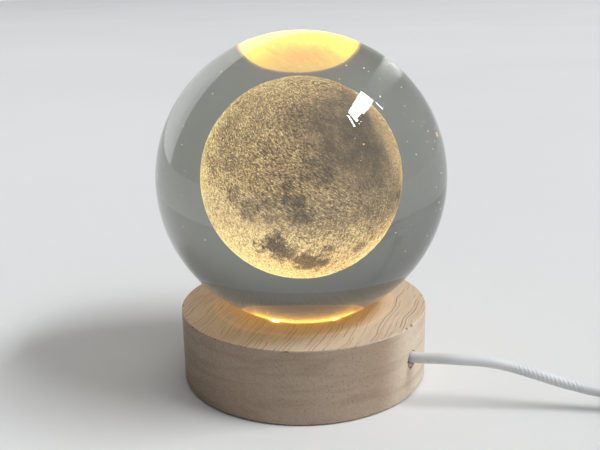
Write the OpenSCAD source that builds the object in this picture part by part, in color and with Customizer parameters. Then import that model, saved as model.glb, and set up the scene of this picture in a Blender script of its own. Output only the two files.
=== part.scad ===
// A crystal ball lamp: a glass ball with a moon engraved inside it stands on a round wooden base.
// The light board sits under the ball, and a cord with a hand switch ends in a charger plug.
// The origin is on the table, under the middle of the base. +Z is up and the cord leaves along +X.

/* [Ball] */
// Diameter of the glass ball
ball_d = 80; // [72:1:90]
// Diameter of the flat ground under the ball
flat_d = 32.8; // [31:0.2:36]
// Bevel around the flat
flat_bevel = 0.3; // [0.2:0.1:0.6]

/* [Moon] */
// Diameter of the moon engraved at the middle of the ball
moon_d = 38.2; // [32:0.2:42]
// Clear layer between the engraved points and the glass
engraving_gap = 0.05; // [0.03:0.01:0.1]
// Number of small craters
crater_n = 36; // [16:1:44]
// Radius of the widest small crater
crater_r = 2.2; // [1.4:0.1:2.4]
// Radius of curvature of a crater's floor, in crater radii
crater_floor = 2; // [1.5:0.1:3]
// Radius of the widest basin
basin_r = 6; // [4:0.5:6.5]
// Radius of curvature of a basin's floor
basin_floor = 45; // [30:5:80]

/* [Wooden base] */
// Diameter of the base
base_d = 70; // [64:1:78]
// Height from the table to the top of the wood
base_h = 21; // [18:0.5:26]
// Bevel on the rims of the wood
rim_bevel = 0.2; // [0.1:0.05:1]
// Width of the ring of wood that the ball rests on
seat_w = 1.4; // [1:0.1:2.4]
// Depth of the light well
well_h = 5; // [4.4:0.2:5]
// Diameter of the hollow for the wiring
hollow_d = 44; // [43:0.5:45]
// Width of the ledge that holds the bottom cover
ledge_w = 5.3; // [5:0.1:5.8]
// Width of the wood around the soft pad
rim_w = 3.7; // [3:0.1:4.2]
// Diameter of the drilled cord hole
cord_hole_d = 5; // [4.8:0.1:5.4]
// Distance of the cord hole below the roof of the hollow
cord_hole_drop = 1.3; // [1:0.1:1.6]

/* [Light board] */
// Width of the shelf that the board seats on
shelf_w = 4; // [3.4:0.1:4.4]
// Thickness of the board
board_t = 1.6; // [1.2:0.2:1.6]
// Depth of the seat that centres the board
board_seat = 1.2; // [0.8:0.1:1.2]
// Clearance around the board
board_gap = 0.3; // [0.2:0.1:0.4]
// Number of lights
led_n = 6; // [3:1:6]
// Side of a light's square case
led_w = 5; // [3.5:0.1:5.2]
// Height of a light's case
led_h = 1.6; // [1:0.1:2]
// Radius of the ring of lights
led_ring_r = 9.5; // [8:0.1:10.2]
// Diameter of a light's yellow lens
led_lens_d = 4; // [2.6:0.1:4.2]
// Depth of the cup that holds the yellow lens
led_cup_h = 0.5; // [0.3:0.1:0.6]
// Length of a resistor chip
chip_l = 3.2; // [2:0.2:3.4]
// Width of a resistor chip
chip_w = 1.6; // [1.2:0.1:1.8]
// Height of a resistor chip
chip_h = 0.6; // [0.4:0.1:0.8]
// Radius of the ring of resistor chips
chip_ring_r = 10; // [9:0.5:11]

/* [Screws] */
// Shank diameter of a board screw
board_screw_d = 2; // [1.6:0.1:2]
// Length of a board screw under its head
board_screw_l = 4.4; // [3.6:0.2:5]
// Head diameter of a board screw
board_screw_head_d = 3.4; // [2.8:0.1:3.4]
// Height of a board screw's head
board_screw_head_h = 1.2; // [0.8:0.1:1.4]
// Shank diameter of a cover screw
cover_screw_d = 2; // [1.6:0.1:2.2]
// Full length of a cover screw
cover_screw_l = 8; // [6:0.5:10]
// Head diameter of a cover screw
cover_screw_head_d = 3.8; // [3:0.1:4]
// Width of the slot in a screw head
slot_w = 0.5; // [0.4:0.1:0.6]
// Depth of the slot in a screw head
slot_h = 0.5; // [0.3:0.1:0.6]
// Clearance of a screw in its hole
screw_gap = 0.1; // [0.05:0.05:0.15]

/* [Bottom cover and pad] */
// Thickness of the bottom cover
cover_t = 1.5; // [1.4:0.1:2]
// Clearance around the cover
cover_gap = 0.3; // [0.2:0.1:0.4]
// Thickness of the soft pad
pad_t = 1.4; // [1:0.1:1.6]
// How far the pad stands proud of the wood
pad_proud = 0.4; // [0.2:0.1:0.6]
// Clearance around the pad
pad_gap = 0.3; // [0.2:0.1:0.5]

/* [Cord] */
// Diameter of the cord
cord_d = 3; // [2.8:0.1:3]
// Diameter of one insulated wire in the cord
wire_d = 1.2; // [1:0.1:1.2]
// Distance of each wire from the middle of the cord
wire_apart = 0.75; // [0.7:0.05:0.8]
// Length of the cord inside the hollow
cord_inside = 5; // [4.5:0.5:6]
// Straight length of each wire before it bends up to the board
wire_run = 7.5; // [6:0.5:8.5]
// Angle at which each wire leaves the cord
wire_spread = 12; // [10:1:16]
// Radius of a solder joint
solder_r = 1.2; // [1:0.1:1.4]
// Thickness of the tie that stops the cord inside the base
tie_t = 0.8; // [0.6:0.1:1]
// Width of that tie
tie_w = 2.5; // [2:0.1:3]
// Length of the tie's head
tie_head = 3.4; // [3:0.1:4]
// Clearance around the tie
tie_gap = 0.1; // [0.05:0.05:0.2]

/* [Hand switch] */
// Length of the switch
switch_l = 44; // [43:0.5:46]
// Width of the switch
switch_w = 14.5; // [14.2:0.1:15.5]
// Height of the switch
switch_h = 10.6; // [10.4:0.1:11.4]
// Thickness of its side walls
switch_wall = 1.6; // [1.4:0.1:1.7]
// Thickness of its top and bottom
switch_skin = 1.3; // [1.2:0.1:1.4]
// Thickness of its end walls
switch_end = 6; // [5:0.5:7]
// Length of the window for the rocker
window_l = 13; // [12.8:0.1:14]
// Width of the window for the rocker
window_w = 8; // [7.6:0.1:8.2]
// Clearance around the rocker
rocker_gap = 0.35; // [0.3:0.05:0.4]
// Tilt of the rocker to either side
rocker_tilt = 7; // [5:0.5:7]
// Height of the rocker's pivot above the parting line
pivot_z = 2.6; // [2.5:0.1:2.7]
// Diameter of the rocker's pins
pin_d = 1.6; // [1.4:0.1:1.8]
// Clearance of a pin in its bearing
pin_gap = 0.1; // [0.08:0.02:0.14]
// Thickness of the brass strips
brass_t = 0.4; // [0.3:0.1:0.5]
// Shank diameter of a switch screw
switch_screw_d = 1.5; // [1.3:0.1:1.6]
// Head diameter of a switch screw
switch_screw_head_d = 2.8; // [2.4:0.1:2.8]

/* [Coil] */
// Turns of cord in the coil
coil_turns = 9; // [7:1:9]
// Radius at the middle of the turns
coil_mid_r = 18; // [17.5:0.5:19]
// Step from one turn to the next
coil_pitch = 3.5; // [3.45:0.05:3.6]
// Step from the lower layer to the upper one
coil_layer = 3.45; // [3.42:0.01:3.6]
// Width of the tie around the coil
twist_w = 3.5; // [3:0.1:5]
// Thickness of the tie around the coil
twist_t = 0.5; // [0.3:0.1:0.6]
// Clearance between the tie and the coil
twist_gap = 0.15; // [0.1:0.05:0.3]
// Length of the twisted ends of that tie
twist_end = 12; // [8:1:14]

/* [Plug] */
// Length of the moulded grip
grip_l = 20; // [18:0.5:21]
// Width of the moulded grip
grip_w = 15.4; // [14.8:0.1:16]
// Height of the moulded grip
grip_h = 7.6; // [7.2:0.1:8.4]
// Length of the bend relief behind the grip
relief_l = 7; // [5:0.5:8]
// Diameter of the bend relief at its tip
relief_tip_d = 4; // [3.6:0.1:4.4]
// Diameter of the bend relief where it meets the grip
relief_root_d = 5.4; // [5:0.1:6]
// Ring grooves in the bend relief
relief_grooves = 3; // [2:1:4]
// Width of the metal shell
shell_w = 12; // [11.8:0.1:12.2]
// Height of the metal shell
shell_h = 4.5; // [4.4:0.1:4.7]
// Wall of the metal shell
shell_t = 0.35; // [0.3:0.05:0.4]
// Length of the metal shell that shows
shell_out = 12; // [11:0.5:12.5]
// Length of the metal shell held in the grip
shell_in = 6; // [4:0.5:7]
// Clearance around the metal shell and the tongue
shell_gap = 0.05; // [0.03:0.01:0.08]
// Thickness of the tongue
tongue_t = 1.8; // [1.6:0.1:1.9]
// Thickness of a contact
contact_t = 0.2; // [0.1:0.05:0.3]

/* [Hidden] */
$fn = 48;
cut = 1;

// Heights of the stack, from the table up
pad_seat_z = pad_t;
cover_seat_z = pad_seat_z + cover_t;
shelf_z = base_h - well_h;
board_z = shelf_z - board_t;
roof_z = shelf_z - board_seat;
cord_hole_z = roof_z - cord_hole_drop - cord_hole_d / 2;
ball_z = base_h + sqrt(pow(ball_d / 2, 2) - pow(flat_d / 2, 2));

// Widths in the base
well_d = flat_d - 2 * seat_w;
board_d = well_d + 2 * shelf_w;
board_screw_r = well_d / 2 + shelf_w / 2;
pad_d = base_d - 2 * rim_w - 2 * pad_gap;
cover_d = hollow_d + 2 * ledge_w - 2 * cover_gap;
cover_screw_r = (hollow_d / 2 + cover_d / 2) / 2;
cover_screw_head_h = (cover_screw_head_d - cover_screw_d) / 2;

// The cord lies against the top of its hole
hole_slack = 0.2;
cord_z = cord_hole_z + cord_hole_d / 2 - cord_d / 2 - hole_slack;
cord_in_x = hollow_d / 2 - cord_inside;
tie_r = cord_d / 2 + tie_gap + tie_t;
tie_side = tie_r - tie_t + tie_head;
tie_x = sqrt(pow(hollow_d / 2 - cover_gap, 2) - pow(tie_side, 2)) - tie_w;
wire_bend_r = 0.7 * (board_z - cord_z);
wire_gap = 0.02;
wire_start_x = cord_in_x - wire_d / 2 * sin(wire_spread) - wire_gap;
wire_end_x = wire_start_x - (wire_run + wire_bend_r) * cos(wire_spread);
wire_end_y = wire_apart + (wire_run + wire_bend_r) * sin(wire_spread);

// Engraved moon: each basin has its bearing, its height and its share of the widest radius
BASINS = [[-70, 28, 1], [-118, 34, 0.72], [-40, 6, 0.66], [-92, -8, 0.5], [100, -20, 0.6], [170, 30, 0.5]];
GOLDEN_TURN = 137.508;
crater_start = 20;

// Hand switch: its near end, and the bearing of its length
switch_at = [88, 22.4, switch_h / 2];
switch_turn = 26;
function from_switch(p) = switch_at + [
    p.x * cos(switch_turn) - p.y * sin(switch_turn),
    p.x * sin(switch_turn) + p.y * cos(switch_turn),
    p.z
];
window_x = switch_l / 2;
room_w = switch_w - 2 * switch_wall;
room_top = switch_h / 2 - switch_skin;
rocker_w = window_w - 2 * rocker_gap;
rocker_l = window_l - 2 * rocker_gap - 0.1;
rocker_low = 1.2;
rocker_rise = 1.3;
ear_gap = 0.3;
bridge_l = 10;
post_gap = 0.3;
screw_places = [[switch_end + 4.2, 1], [switch_l - switch_end - 4.2, -1]];
screw_y = room_w / 2 - 1.2;
screw_boss_d = 3.6;
screw_sink = 0.2;
screw_head_h = 1.1;
stub_l = switch_end + 2;

// Coil: it lies on its tie, and its two layers are wound in and out again
coil_at = [130, 0];
coil_low_z = cord_d / 2 + twist_t + twist_gap;
coil_high_z = coil_low_z + coil_layer;
coil_top_z = coil_high_z + cord_d / 2;
coil_half = coil_turns / 2;
coil_in_r = coil_mid_r - coil_pitch * coil_half / 2;
coil_out_r = coil_mid_r + coil_pitch * coil_half / 2;
coil_x = coil_at.x + coil_out_r;
TURN_STEPS = 24;
twist_bearing = 225;

// Plug: it lies on the coil
plug_rest = 0.15;
plug_at = [coil_at.x, -7, coil_top_z + plug_rest + grip_h / 2];
shell_tip_x = relief_l + grip_l + shell_out;

// Routes of the free cord, from the base to the plug. The points are chosen by hand.
LEAD = [
    [base_d / 2, 0, cord_z], [38, 0, cord_z], [41.2, 0.6, 12.4], [44.5, 1.5, 12.8], [47.8, 2.9, 12.8],
    [53.7, 6.1, 12.2], [59.7, 9.2, 10.9], [66, 12.2, 9.2], [72, 15, 7.5], [78, 17.8, 6.1], [81.5, 19.4, 5.5],
    from_switch([-3, 0, 0]), from_switch([0, 0, 0])
];
LINK = [
    from_switch([switch_l, 0, 0]), from_switch([switch_l + 3, 0, 0]), [135, 44.4, 4.7], [141.2, 44.5, 3.8],
    [147.1, 42.4, 2.8], [151.9, 38.4, 2], [155, 33, 1.6], [156, 26.8, 1.5], [156, 20, 1.5], [156, 13, 1.7],
    [coil_x, 6, coil_low_z], [coil_x, 3, coil_low_z]
];
TAIL = [
    [coil_x, -3, coil_high_z], [coil_x, -6, coil_high_z], [156, -10, 6], [155.4, -13.6, 6.3], [154.2, -16.6, 6.8],
    [152.2, -19.2, 7.4], [149.5, -21.3, 8], [146.4, -22.6, 8.7], [143, -23, 9.3], [139.6, -22.6, 9.8],
    [136.5, -21.3, 10.3], [133.8, -19.2, 10.7], [131.7, -16.4, 11], [130.4, -13.2, 11.1],
    plug_at - [0, 3, 0], plug_at
];
TUBE_SIDES = 8;
COIL_SIDES = 6;

// Curves and tubes

function unit(v) = v / norm(v);
function sum(v, i = 0) = i < len(v) ? v[i] + sum(v, i + 1) : 0;
function lengths(p) = [for (i = [1:len(p) - 1]) norm(p[i] - p[i - 1])];
function smooth(u) = u * u * (3 - 2 * u);
function heading(p, i) = unit(p[min(i + 1, len(p) - 1)] - p[max(i - 1, 0)]);
function ring(centre, along, r, n) =
    let (side = unit(cross(along, [0, 0, 1])), up = cross(side, along))
    [for (k = [0:n - 1]) let (a = 360 * (k + 0.5) / n) centre + r * (cos(a) * side + sin(a) * up)];

// Tube of n sides swept along the points p, with a ring of corners at each point
module tube(p, d, n) {
    last = (len(p) - 1) * n;
    polyhedron(
        points = [for (i = [0:len(p) - 1]) each ring(p[i], heading(p, i), d / 2, n)],
        faces = [
            [for (k = [n - 1:-1:0]) k],
            for (i = [0:len(p) - 2], k = [0:n - 1]) let (a = i * n, b = (k + 1) % n) [a + k, a + b, a + n + b],
            for (i = [0:len(p) - 2], k = [0:n - 1]) let (a = i * n, b = (k + 1) % n) [a + k, a + n + b, a + n + k],
            [for (k = [0:n - 1]) last + k]
        ]
    );
}

// Winding of the coil: in over the lower layer, up in the half turn at its middle, and out over the upper one
function coil_r(t) = coil_in_r + coil_pitch * abs(t - coil_half);
function coil_z(t) = coil_low_z + coil_layer * smooth(min(1, max(0, 2 * (t - coil_half) + 0.5)));
function coil_point(t) = [
    coil_at.x + coil_r(t) * cos(360 * t),
    coil_at.y - coil_r(t) * sin(360 * t),
    coil_z(t)
];
COIL = [
    [coil_x, 3, coil_low_z],
    for (i = [0:coil_turns * TURN_STEPS]) coil_point(i / TURN_STEPS),
    [coil_x, -3, coil_high_z]
];
least_gap = min([
    for (i = [0:len(COIL) - 1], j = [i + TURN_STEPS / 2:1:len(COIL) - 1]) norm(COIL[i] - COIL[j])
]) - cord_d;
tail_gap = min([for (p = TAIL, i = [0:len(COIL) - TURN_STEPS / 2]) norm(p - COIL[i])]) - cord_d;
cord_length = base_d / 2 - cord_in_x + sum(lengths(LEAD)) + switch_l + sum(lengths(LINK))
    + sum(lengths(COIL)) + sum(lengths(TAIL));
echo(str("Least gap of the coil to itself, mm: ", least_gap));
echo(str("Least gap of the tail to the coil, mm: ", tail_gap));
echo(str("Length of the cord, mm: ", cord_length));

// Shared shapes

// Rectangle with round corners, centred
module pill(w, h, r) {
    square([w - 2 * r, h], center = true);
    square([w, h - 2 * r], center = true);
    for (x = [-1, 1], y = [-1, 1]) translate([x * (w / 2 - r), y * (h / 2 - r)]) circle(r);
}

// Moulded block whose plan, side and end are all round at the corners
module moulded(l, w, h, plan_r, side_r, end_r) {
    intersection() {
        linear_extrude(h + cut, center = true) pill(l, w, plan_r);
        rotate([90, 0, 0]) linear_extrude(w + cut, center = true) pill(l, h, side_r);
        rotate([90, 0, 90]) linear_extrude(l + cut, center = true) pill(w, h, end_r);
    }
}

// Copies around the vertical axis
module around(n, r, first = 0) {
    for (i = [0:n - 1]) rotate([0, 0, first + 360 * i / n]) translate([r, 0, 0]) children();
}

// Cylinder along X
module rod(x0, x1, d) {
    translate([x0, 0, 0]) rotate([0, 90, 0]) cylinder(d = d, h = x1 - x0);
}

// Round head screw that points up, with its seat at z = 0
module pan_screw(d, l, head_d, head_h) {
    difference() {
        union() {
            cylinder(d = d, h = l);
            translate([0, 0, -head_h]) cylinder(d = head_d, h = head_h);
        }
        translate([0, 0, -head_h + slot_h / 2]) cube([head_d + cut, slot_w, slot_h + 0.01], center = true);
    }
}

// Ball and moon

module ball_shape(r) {
    difference() {
        sphere(r);
        translate([0, 0, base_h - ball_z - r]) cube(2 * r, center = true);
        translate([0, 0, base_h - ball_z]) rotate_extrude()
            polygon([
                [flat_d / 2 - flat_bevel, -cut], [flat_d / 2 - flat_bevel, 0],
                [flat_d / 2 + flat_bevel, flat_bevel], [flat_d / 2 + 2 * flat_bevel, -cut]
            ]);
    }
}

module crystal_ball() {
    color([0.85, 0.93, 0.98, 0.4]) translate([0, 0, ball_z]) difference() {
        ball_shape(ball_d / 2);
        sphere(moon_d / 2 + engraving_gap);
    }
}

// Ball that leaves a round dish of radius a on the moon, where its own radius is s
module dish(a, s) {
    translate([0, 0, sqrt(pow(moon_d / 2, 2) - a * a) + sqrt(s * s - a * a)]) sphere(s);
}

module moon_engraving() {
    color("tan") translate([0, 0, ball_z]) difference() {
        sphere(moon_d / 2);
        for (b = BASINS) rotate([0, 90 - b[1], b[0]]) dish(basin_r * b[2], basin_floor);
        for (i = [0:crater_n - 1]) {
            size = crater_r * (0.4 + 0.6 * pow(abs(sin(97 * i + 20)), 3));
            rotate([0, acos(1 - (2 * i + 1) / crater_n), crater_start + GOLDEN_TURN * i])
                dish(size, crater_floor * size);
        }
    }
}

// Wooden base and what it holds

module wooden_base() {
    r = base_d / 2;
    low = pad_proud;
    color("burlywood") difference() {
        rotate_extrude() polygon([
            [well_d / 2, base_h], [well_d / 2, shelf_z],
            [board_d / 2 + board_gap, shelf_z], [board_d / 2 + board_gap, roof_z],
            [hollow_d / 2, roof_z], [hollow_d / 2, cover_seat_z],
            [cover_d / 2 + cover_gap, cover_seat_z], [cover_d / 2 + cover_gap, pad_seat_z],
            [pad_d / 2 + pad_gap, pad_seat_z], [pad_d / 2 + pad_gap, low],
            [r - rim_bevel, low], [r, low + rim_bevel],
            [r, base_h - rim_bevel], [r - rim_bevel, base_h]
        ]);
        translate([0, 0, cord_hole_z]) rod(hollow_d / 2 - cut, r + cut, cord_hole_d);
        around(3, board_screw_r, 60) translate([0, 0, shelf_z - cut])
            cylinder(d = board_screw_d + 2 * screw_gap, h = board_screw_l - board_t + cut + screw_gap);
        around(3, cover_screw_r, 60) translate([0, 0, cover_seat_z - cut])
            cylinder(d = cover_screw_d + 2 * screw_gap, h = cover_screw_l - cover_t + cut + screw_gap);
    }
}

module led_board() {
    color("white") difference() {
        translate([0, 0, board_z]) cylinder(d = board_d, h = board_t);
        around(3, board_screw_r, 60) translate([0, 0, board_z - cut])
            cylinder(d = board_screw_d + 2 * screw_gap, h = board_t + 2 * cut);
    }
}

module led_packages() {
    color("ivory") around(led_n, led_ring_r, 30) translate([0, 0, shelf_z]) difference() {
        translate([-led_w / 2, -led_w / 2, 0]) cube([led_w, led_w, led_h]);
        translate([0, 0, led_h - led_cup_h]) cylinder(d = led_lens_d, h = led_cup_h + cut);
    }
}

module led_lenses() {
    color("gold") around(led_n, led_ring_r, 30) translate([0, 0, shelf_z + led_h - led_cup_h])
        cylinder(d = led_lens_d - 2 * screw_gap, h = led_cup_h - 0.05);
}

module board_resistors() {
    color([0.12, 0.12, 0.13]) around(3, chip_ring_r, 60) translate([-chip_w / 2, -chip_l / 2, board_z - chip_h])
        cube([chip_w, chip_l, chip_h]);
}

module solder_joints() {
    color("silver") for (s = [-1, 1]) translate([wire_end_x, s * wire_end_y, board_z]) difference() {
        sphere(solder_r);
        translate([0, 0, solder_r]) cube(2 * solder_r, center = true);
        translate([0, 0, -2 * solder_r]) cylinder(d = wire_d + 0.04, h = 4 * solder_r);
    }
}

// Insulated wire from the end of the cord up to the board, on the side s
module board_wire(s) {
    translate([wire_start_x, s * wire_apart, cord_z]) rotate([0, 0, 180 - s * wire_spread]) {
        rod(0, wire_run, wire_d);
        translate([wire_run, 0, wire_bend_r]) rotate([90, 0, 0]) rotate_extrude(angle = 90, start = -90)
            translate([wire_bend_r, 0]) circle(d = wire_d);
        translate([wire_run + wire_bend_r, 0, wire_bend_r]) cylinder(d = wire_d, h = board_z - cord_z - wire_bend_r);
    }
}

module wire_positive() {
    color("red") board_wire(1);
}

module wire_negative() {
    color([0.1, 0.1, 0.1]) board_wire(-1);
}

module board_screws() {
    color("silver") around(3, board_screw_r, 60) translate([0, 0, board_z])
        pan_screw(board_screw_d, board_screw_l, board_screw_head_d, board_screw_head_h);
}

module bottom_cover() {
    color([0.2, 0.2, 0.21]) difference() {
        translate([0, 0, pad_seat_z]) cylinder(d = cover_d, h = cover_t);
        around(3, cover_screw_r, 60) translate([0, 0, pad_seat_z]) {
            translate([0, 0, -cut]) cylinder(d = cover_screw_d + 2 * screw_gap, h = cover_t + 2 * cut);
            translate([0, 0, -0.01]) cylinder(
                d1 = cover_screw_head_d + 2 * screw_gap + 0.02,
                d2 = cover_screw_d + 2 * screw_gap,
                h = cover_screw_head_h + 0.01
            );
        }
    }
}

module cover_screws() {
    color("silver") around(3, cover_screw_r, 60) translate([0, 0, pad_seat_z]) difference() {
        union() {
            cylinder(d = cover_screw_d, h = cover_screw_l);
            cylinder(d1 = cover_screw_head_d, d2 = cover_screw_d, h = cover_screw_head_h);
        }
        cube([cover_screw_head_d + cut, slot_w, 2 * slot_h], center = true);
    }
}

module non_slip_pad() {
    color([0.15, 0.15, 0.15]) cylinder(d = pad_d, h = pad_t);
}

// Cable tie drawn tight inside the hollow, so that the cord can't be pulled out through its hole
module strain_tie() {
    color([0.92, 0.92, 0.9]) translate([tie_x, 0, cord_z]) difference() {
        union() {
            rod(0, tie_w, 2 * tie_r);
            translate([0, tie_r - tie_t, -tie_head / 2]) cube([tie_w, tie_head, tie_head]);
        }
        translate([-cut, 0, 0]) rod(0, tie_w + 2 * cut, cord_d + 2 * tie_gap);
    }
}

// Stretch of cord held inside the base
module cord_inner() {
    color("white") translate([0, 0, cord_z]) rod(cord_in_x, base_d / 2, cord_d);
}

module cord_lead() {
    color("white") tube(LEAD, cord_d, TUBE_SIDES);
}

module cord_link() {
    color("white") tube(LINK, cord_d, TUBE_SIDES);
}

module cord_coil() {
    color("white") tube(COIL, cord_d, COIL_SIDES);
}

module cord_tail() {
    color("white") tube(TAIL, cord_d, TUBE_SIDES);
}

// Wire tie around the turns of the coil, with its ends twisted together on top
module coil_tie() {
    mid_z = (coil_low_z + coil_high_z) / 2;
    inner_h = coil_layer + cord_d + 2 * twist_gap;
    inner_w = coil_out_r - coil_in_r + cord_d + 2 * twist_gap;
    strand_d = 1.1;
    color([0.15, 0.15, 0.16]) translate([coil_at.x, coil_at.y, 0]) rotate([0, 0, twist_bearing]) {
        translate([coil_mid_r, 0, mid_z]) rotate([90, 0, 0]) linear_extrude(twist_w, center = true) difference() {
            pill(inner_w + 2 * twist_t, inner_h + 2 * twist_t, 2);
            pill(inner_w, inner_h, 2 - twist_t);
        }
        translate([coil_mid_r, -twist_end / 2, coil_top_z + twist_gap + twist_t + strand_d])
            rotate([-90, 0, 0]) linear_extrude(twist_end, twist = 1080, slices = 18)
            for (s = [-1, 1]) translate([s * strand_d * 0.45, 0]) circle(d = strand_d, $fn = 5);
    }
}

// Hand switch, in its own place: X runs along the cord and z = 0 is the parting line

module in_switch() {
    translate(switch_at) rotate([0, 0, switch_turn]) children();
}

module switch_body() {
    translate([switch_l / 2, 0, 0]) moulded(switch_l, switch_w, switch_h, 5.5, 3, 2.2);
}

module switch_room() {
    translate([switch_end, -room_w / 2, -room_top]) cube([switch_l - 2 * switch_end, room_w, 2 * room_top]);
    rod(-cut, switch_l + cut, cord_d + 0.3);
}

module switch_lower_shell() {
    color("white") in_switch() difference() {
        union() {
            difference() {
                switch_body();
                switch_room();
            }
            intersection() {
                switch_body();
                for (p = screw_places) translate([p[0], p[1] * screw_y, -switch_h / 2])
                    cylinder(d = screw_boss_d, h = switch_h / 2);
            }
        }
        translate([-cut, -switch_w, 0]) cube([switch_l + 2 * cut, 2 * switch_w, switch_h]);
        for (p = screw_places) translate([p[0], p[1] * screw_y, -switch_h / 2 - cut]) {
            cylinder(d = switch_screw_d + 2 * screw_gap, h = switch_h);
            cylinder(d = switch_screw_head_d + 2 * screw_gap, h = cut + screw_sink + screw_head_h);
        }
    }
}

module switch_upper_shell() {
    ear_y = rocker_w / 2 + ear_gap;
    color("white") in_switch() difference() {
        union() {
            difference() {
                switch_body();
                switch_room();
            }
            intersection() {
                switch_body();
                union() {
                    for (p = screw_places) translate([p[0], p[1] * screw_y, 0])
                        cylinder(d = screw_boss_d, h = switch_h / 2);
                    for (s = [-1, 1]) translate([window_x - 2, s > 0 ? ear_y : -switch_w / 2, pivot_z - 1.6])
                        cube([4, switch_w / 2 - ear_y, room_top - pivot_z + 1.6 + switch_skin / 2]);
                }
            }
        }
        translate([-cut, -switch_w, -switch_h]) cube([switch_l + 2 * cut, 2 * switch_w, switch_h]);
        translate([window_x - window_l / 2, -window_w / 2, room_top - cut])
            cube([window_l, window_w, switch_skin + 2 * cut]);
        translate([window_x, 0, pivot_z]) rotate([90, 0, 0])
            cylinder(d = pin_d + 2 * pin_gap, h = room_w, center = true);
        for (p = screw_places) translate([p[0], p[1] * screw_y, -cut])
            cylinder(d = switch_screw_d + 2 * screw_gap, h = cut + room_top);
    }
}

module at_pivot() {
    in_switch() translate([window_x, 0, pivot_z]) rotate([0, rocker_tilt, 0]) children();
}

module switch_rocker() {
    top = switch_h / 2 - pivot_z;
    half = rocker_l / 2;
    color("white") at_pivot() {
        rotate([90, 0, 0]) linear_extrude(rocker_w, center = true) polygon([
            [-half, top + rocker_rise], [0, top + rocker_rise / 3], [half, top + rocker_rise],
            [0.74 * half, -rocker_low], [-0.74 * half, -rocker_low]
        ]);
        rotate([90, 0, 0]) cylinder(d = pin_d, h = room_w - 0.4, center = true);
    }
}

// Brass strip under the rocker that joins the two fixed contacts when the switch is on
module switch_bridge() {
    color("goldenrod") at_pivot() translate([0, 0, -rocker_low - brass_t / 2])
        cube([bridge_l, 3, brass_t], center = true);
}

module switch_contacts() {
    floor_z = -room_top;
    drop = rocker_low + brass_t;
    far_x = bridge_l / 2 * cos(rocker_tilt) - drop * sin(rocker_tilt);
    centre_top = pivot_z - drop - post_gap;
    far_top = pivot_z - bridge_l / 2 * sin(rocker_tilt) - drop * cos(rocker_tilt) - post_gap;
    color("goldenrod") in_switch() {
        translate([window_x - 0.8, -1.2, floor_z]) cube([1.6, 2.4, centre_top - floor_z]);
        translate([window_x - 8, -1.2, floor_z]) cube([8, 2.4, brass_t]);
        translate([window_x + far_x - 1.2, -1.2, floor_z]) cube([1.2, 2.4, far_top - floor_z]);
        translate([window_x + far_x - 1.2, -1.2, floor_z]) cube([7, 2.4, brass_t]);
    }
}

module switch_screws() {
    color("silver") in_switch() for (p = screw_places)
        translate([p[0], p[1] * screw_y, -switch_h / 2 + screw_sink + screw_head_h])
        pan_screw(switch_screw_d, switch_h / 2 + 1.2, switch_screw_head_d, screw_head_h);
}

// Wires in the switch: one runs through, and the other is cut and ends on the two contacts
module switch_wires() {
    near = stub_l;
    far = switch_l - stub_l;
    low = -room_top + brass_t + wire_d / 2 + 0.1;
    side = room_w / 2 - 2.2;
    function placed(p) = [for (q = p) from_switch(q)];
    color("tomato") {
        tube(placed([
            [near, -wire_apart, 0], [near + 2, -wire_apart, 0], [near + 5, -side, -1],
            [far - 5, -side, -1], [far - 2, -wire_apart, 0], [far, -wire_apart, 0]
        ]), wire_d, TUBE_SIDES);
        tube(placed([[near, wire_apart, 0], [near + 2, wire_apart, 0], [near + 4, wire_apart, low],
            [near + 8, wire_apart, low]]), wire_d, TUBE_SIDES);
        tube(placed([[far - 7, wire_apart, low], [far - 4, wire_apart, low], [far - 2, wire_apart, 0],
            [far, wire_apart, 0]]), wire_d, TUBE_SIDES);
    }
}

// Ends of the cord held in the switch
module switch_cord_ends() {
    color("white") in_switch() {
        rod(0, stub_l, cord_d);
        rod(switch_l - stub_l, switch_l, cord_d);
    }
}

// Plug, in its own place: X runs from the cord to the metal tip

module in_plug() {
    translate(plug_at) rotate([0, 0, 90]) children();
}

module plug_grip() {
    step = relief_l / (relief_grooves + 1);
    color("white") in_plug() difference() {
        union() {
            translate([relief_l + grip_l / 2, 0, 0]) moulded(grip_l, grip_w, grip_h, 3, 1.6, 2.4);
            rotate([0, 90, 0]) cylinder(d1 = relief_tip_d, d2 = relief_root_d, h = relief_l + 1);
        }
        for (i = [1:relief_grooves]) translate([i * step, 0, 0]) rotate([0, 90, 0]) rotate_extrude()
            translate([cord_d / 2 + 0.3, -step / 5]) square([relief_root_d, step * 0.4]);
        for (s = [-1, 1], i = [-2:2]) translate([relief_l + grip_l / 2 + i * 2, s * grip_w / 2, 0])
            cylinder(r = 0.5, h = grip_h + cut, center = true);
        translate([relief_l + grip_l - shell_in, 0, 0]) rotate([90, 0, 90])
            linear_extrude(shell_in + cut) pill(shell_w + 2 * shell_gap, shell_h + 2 * shell_gap, 0.6);
    }
}

module plug_shell() {
    hole_w = 2.4;
    hole_x = shell_tip_x - 6.5;
    color("silver") in_plug() difference() {
        translate([shell_tip_x - shell_out - shell_in, 0, 0]) rotate([90, 0, 90])
            linear_extrude(shell_out + shell_in) difference() {
                pill(shell_w, shell_h, 0.6);
                pill(shell_w - 2 * shell_t, shell_h - 2 * shell_t, 0.6 - shell_t / 2);
            }
        for (s = [-1, 1], z = [-1, 1]) translate([hole_x, s * shell_w / 4 - hole_w / 2, z > 0 ? 0.6 : -shell_h])
            cube([hole_w, hole_w, shell_h - 0.6]);
    }
}

module plug_tongue() {
    color("white") in_plug()
        translate([shell_tip_x - shell_out - shell_in, -shell_w / 2 + shell_t + 0.3, -shell_h / 2 + shell_t + shell_gap])
        cube([shell_out + shell_in - 0.8, shell_w - 2 * shell_t - 0.6, tongue_t]);
}

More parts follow.
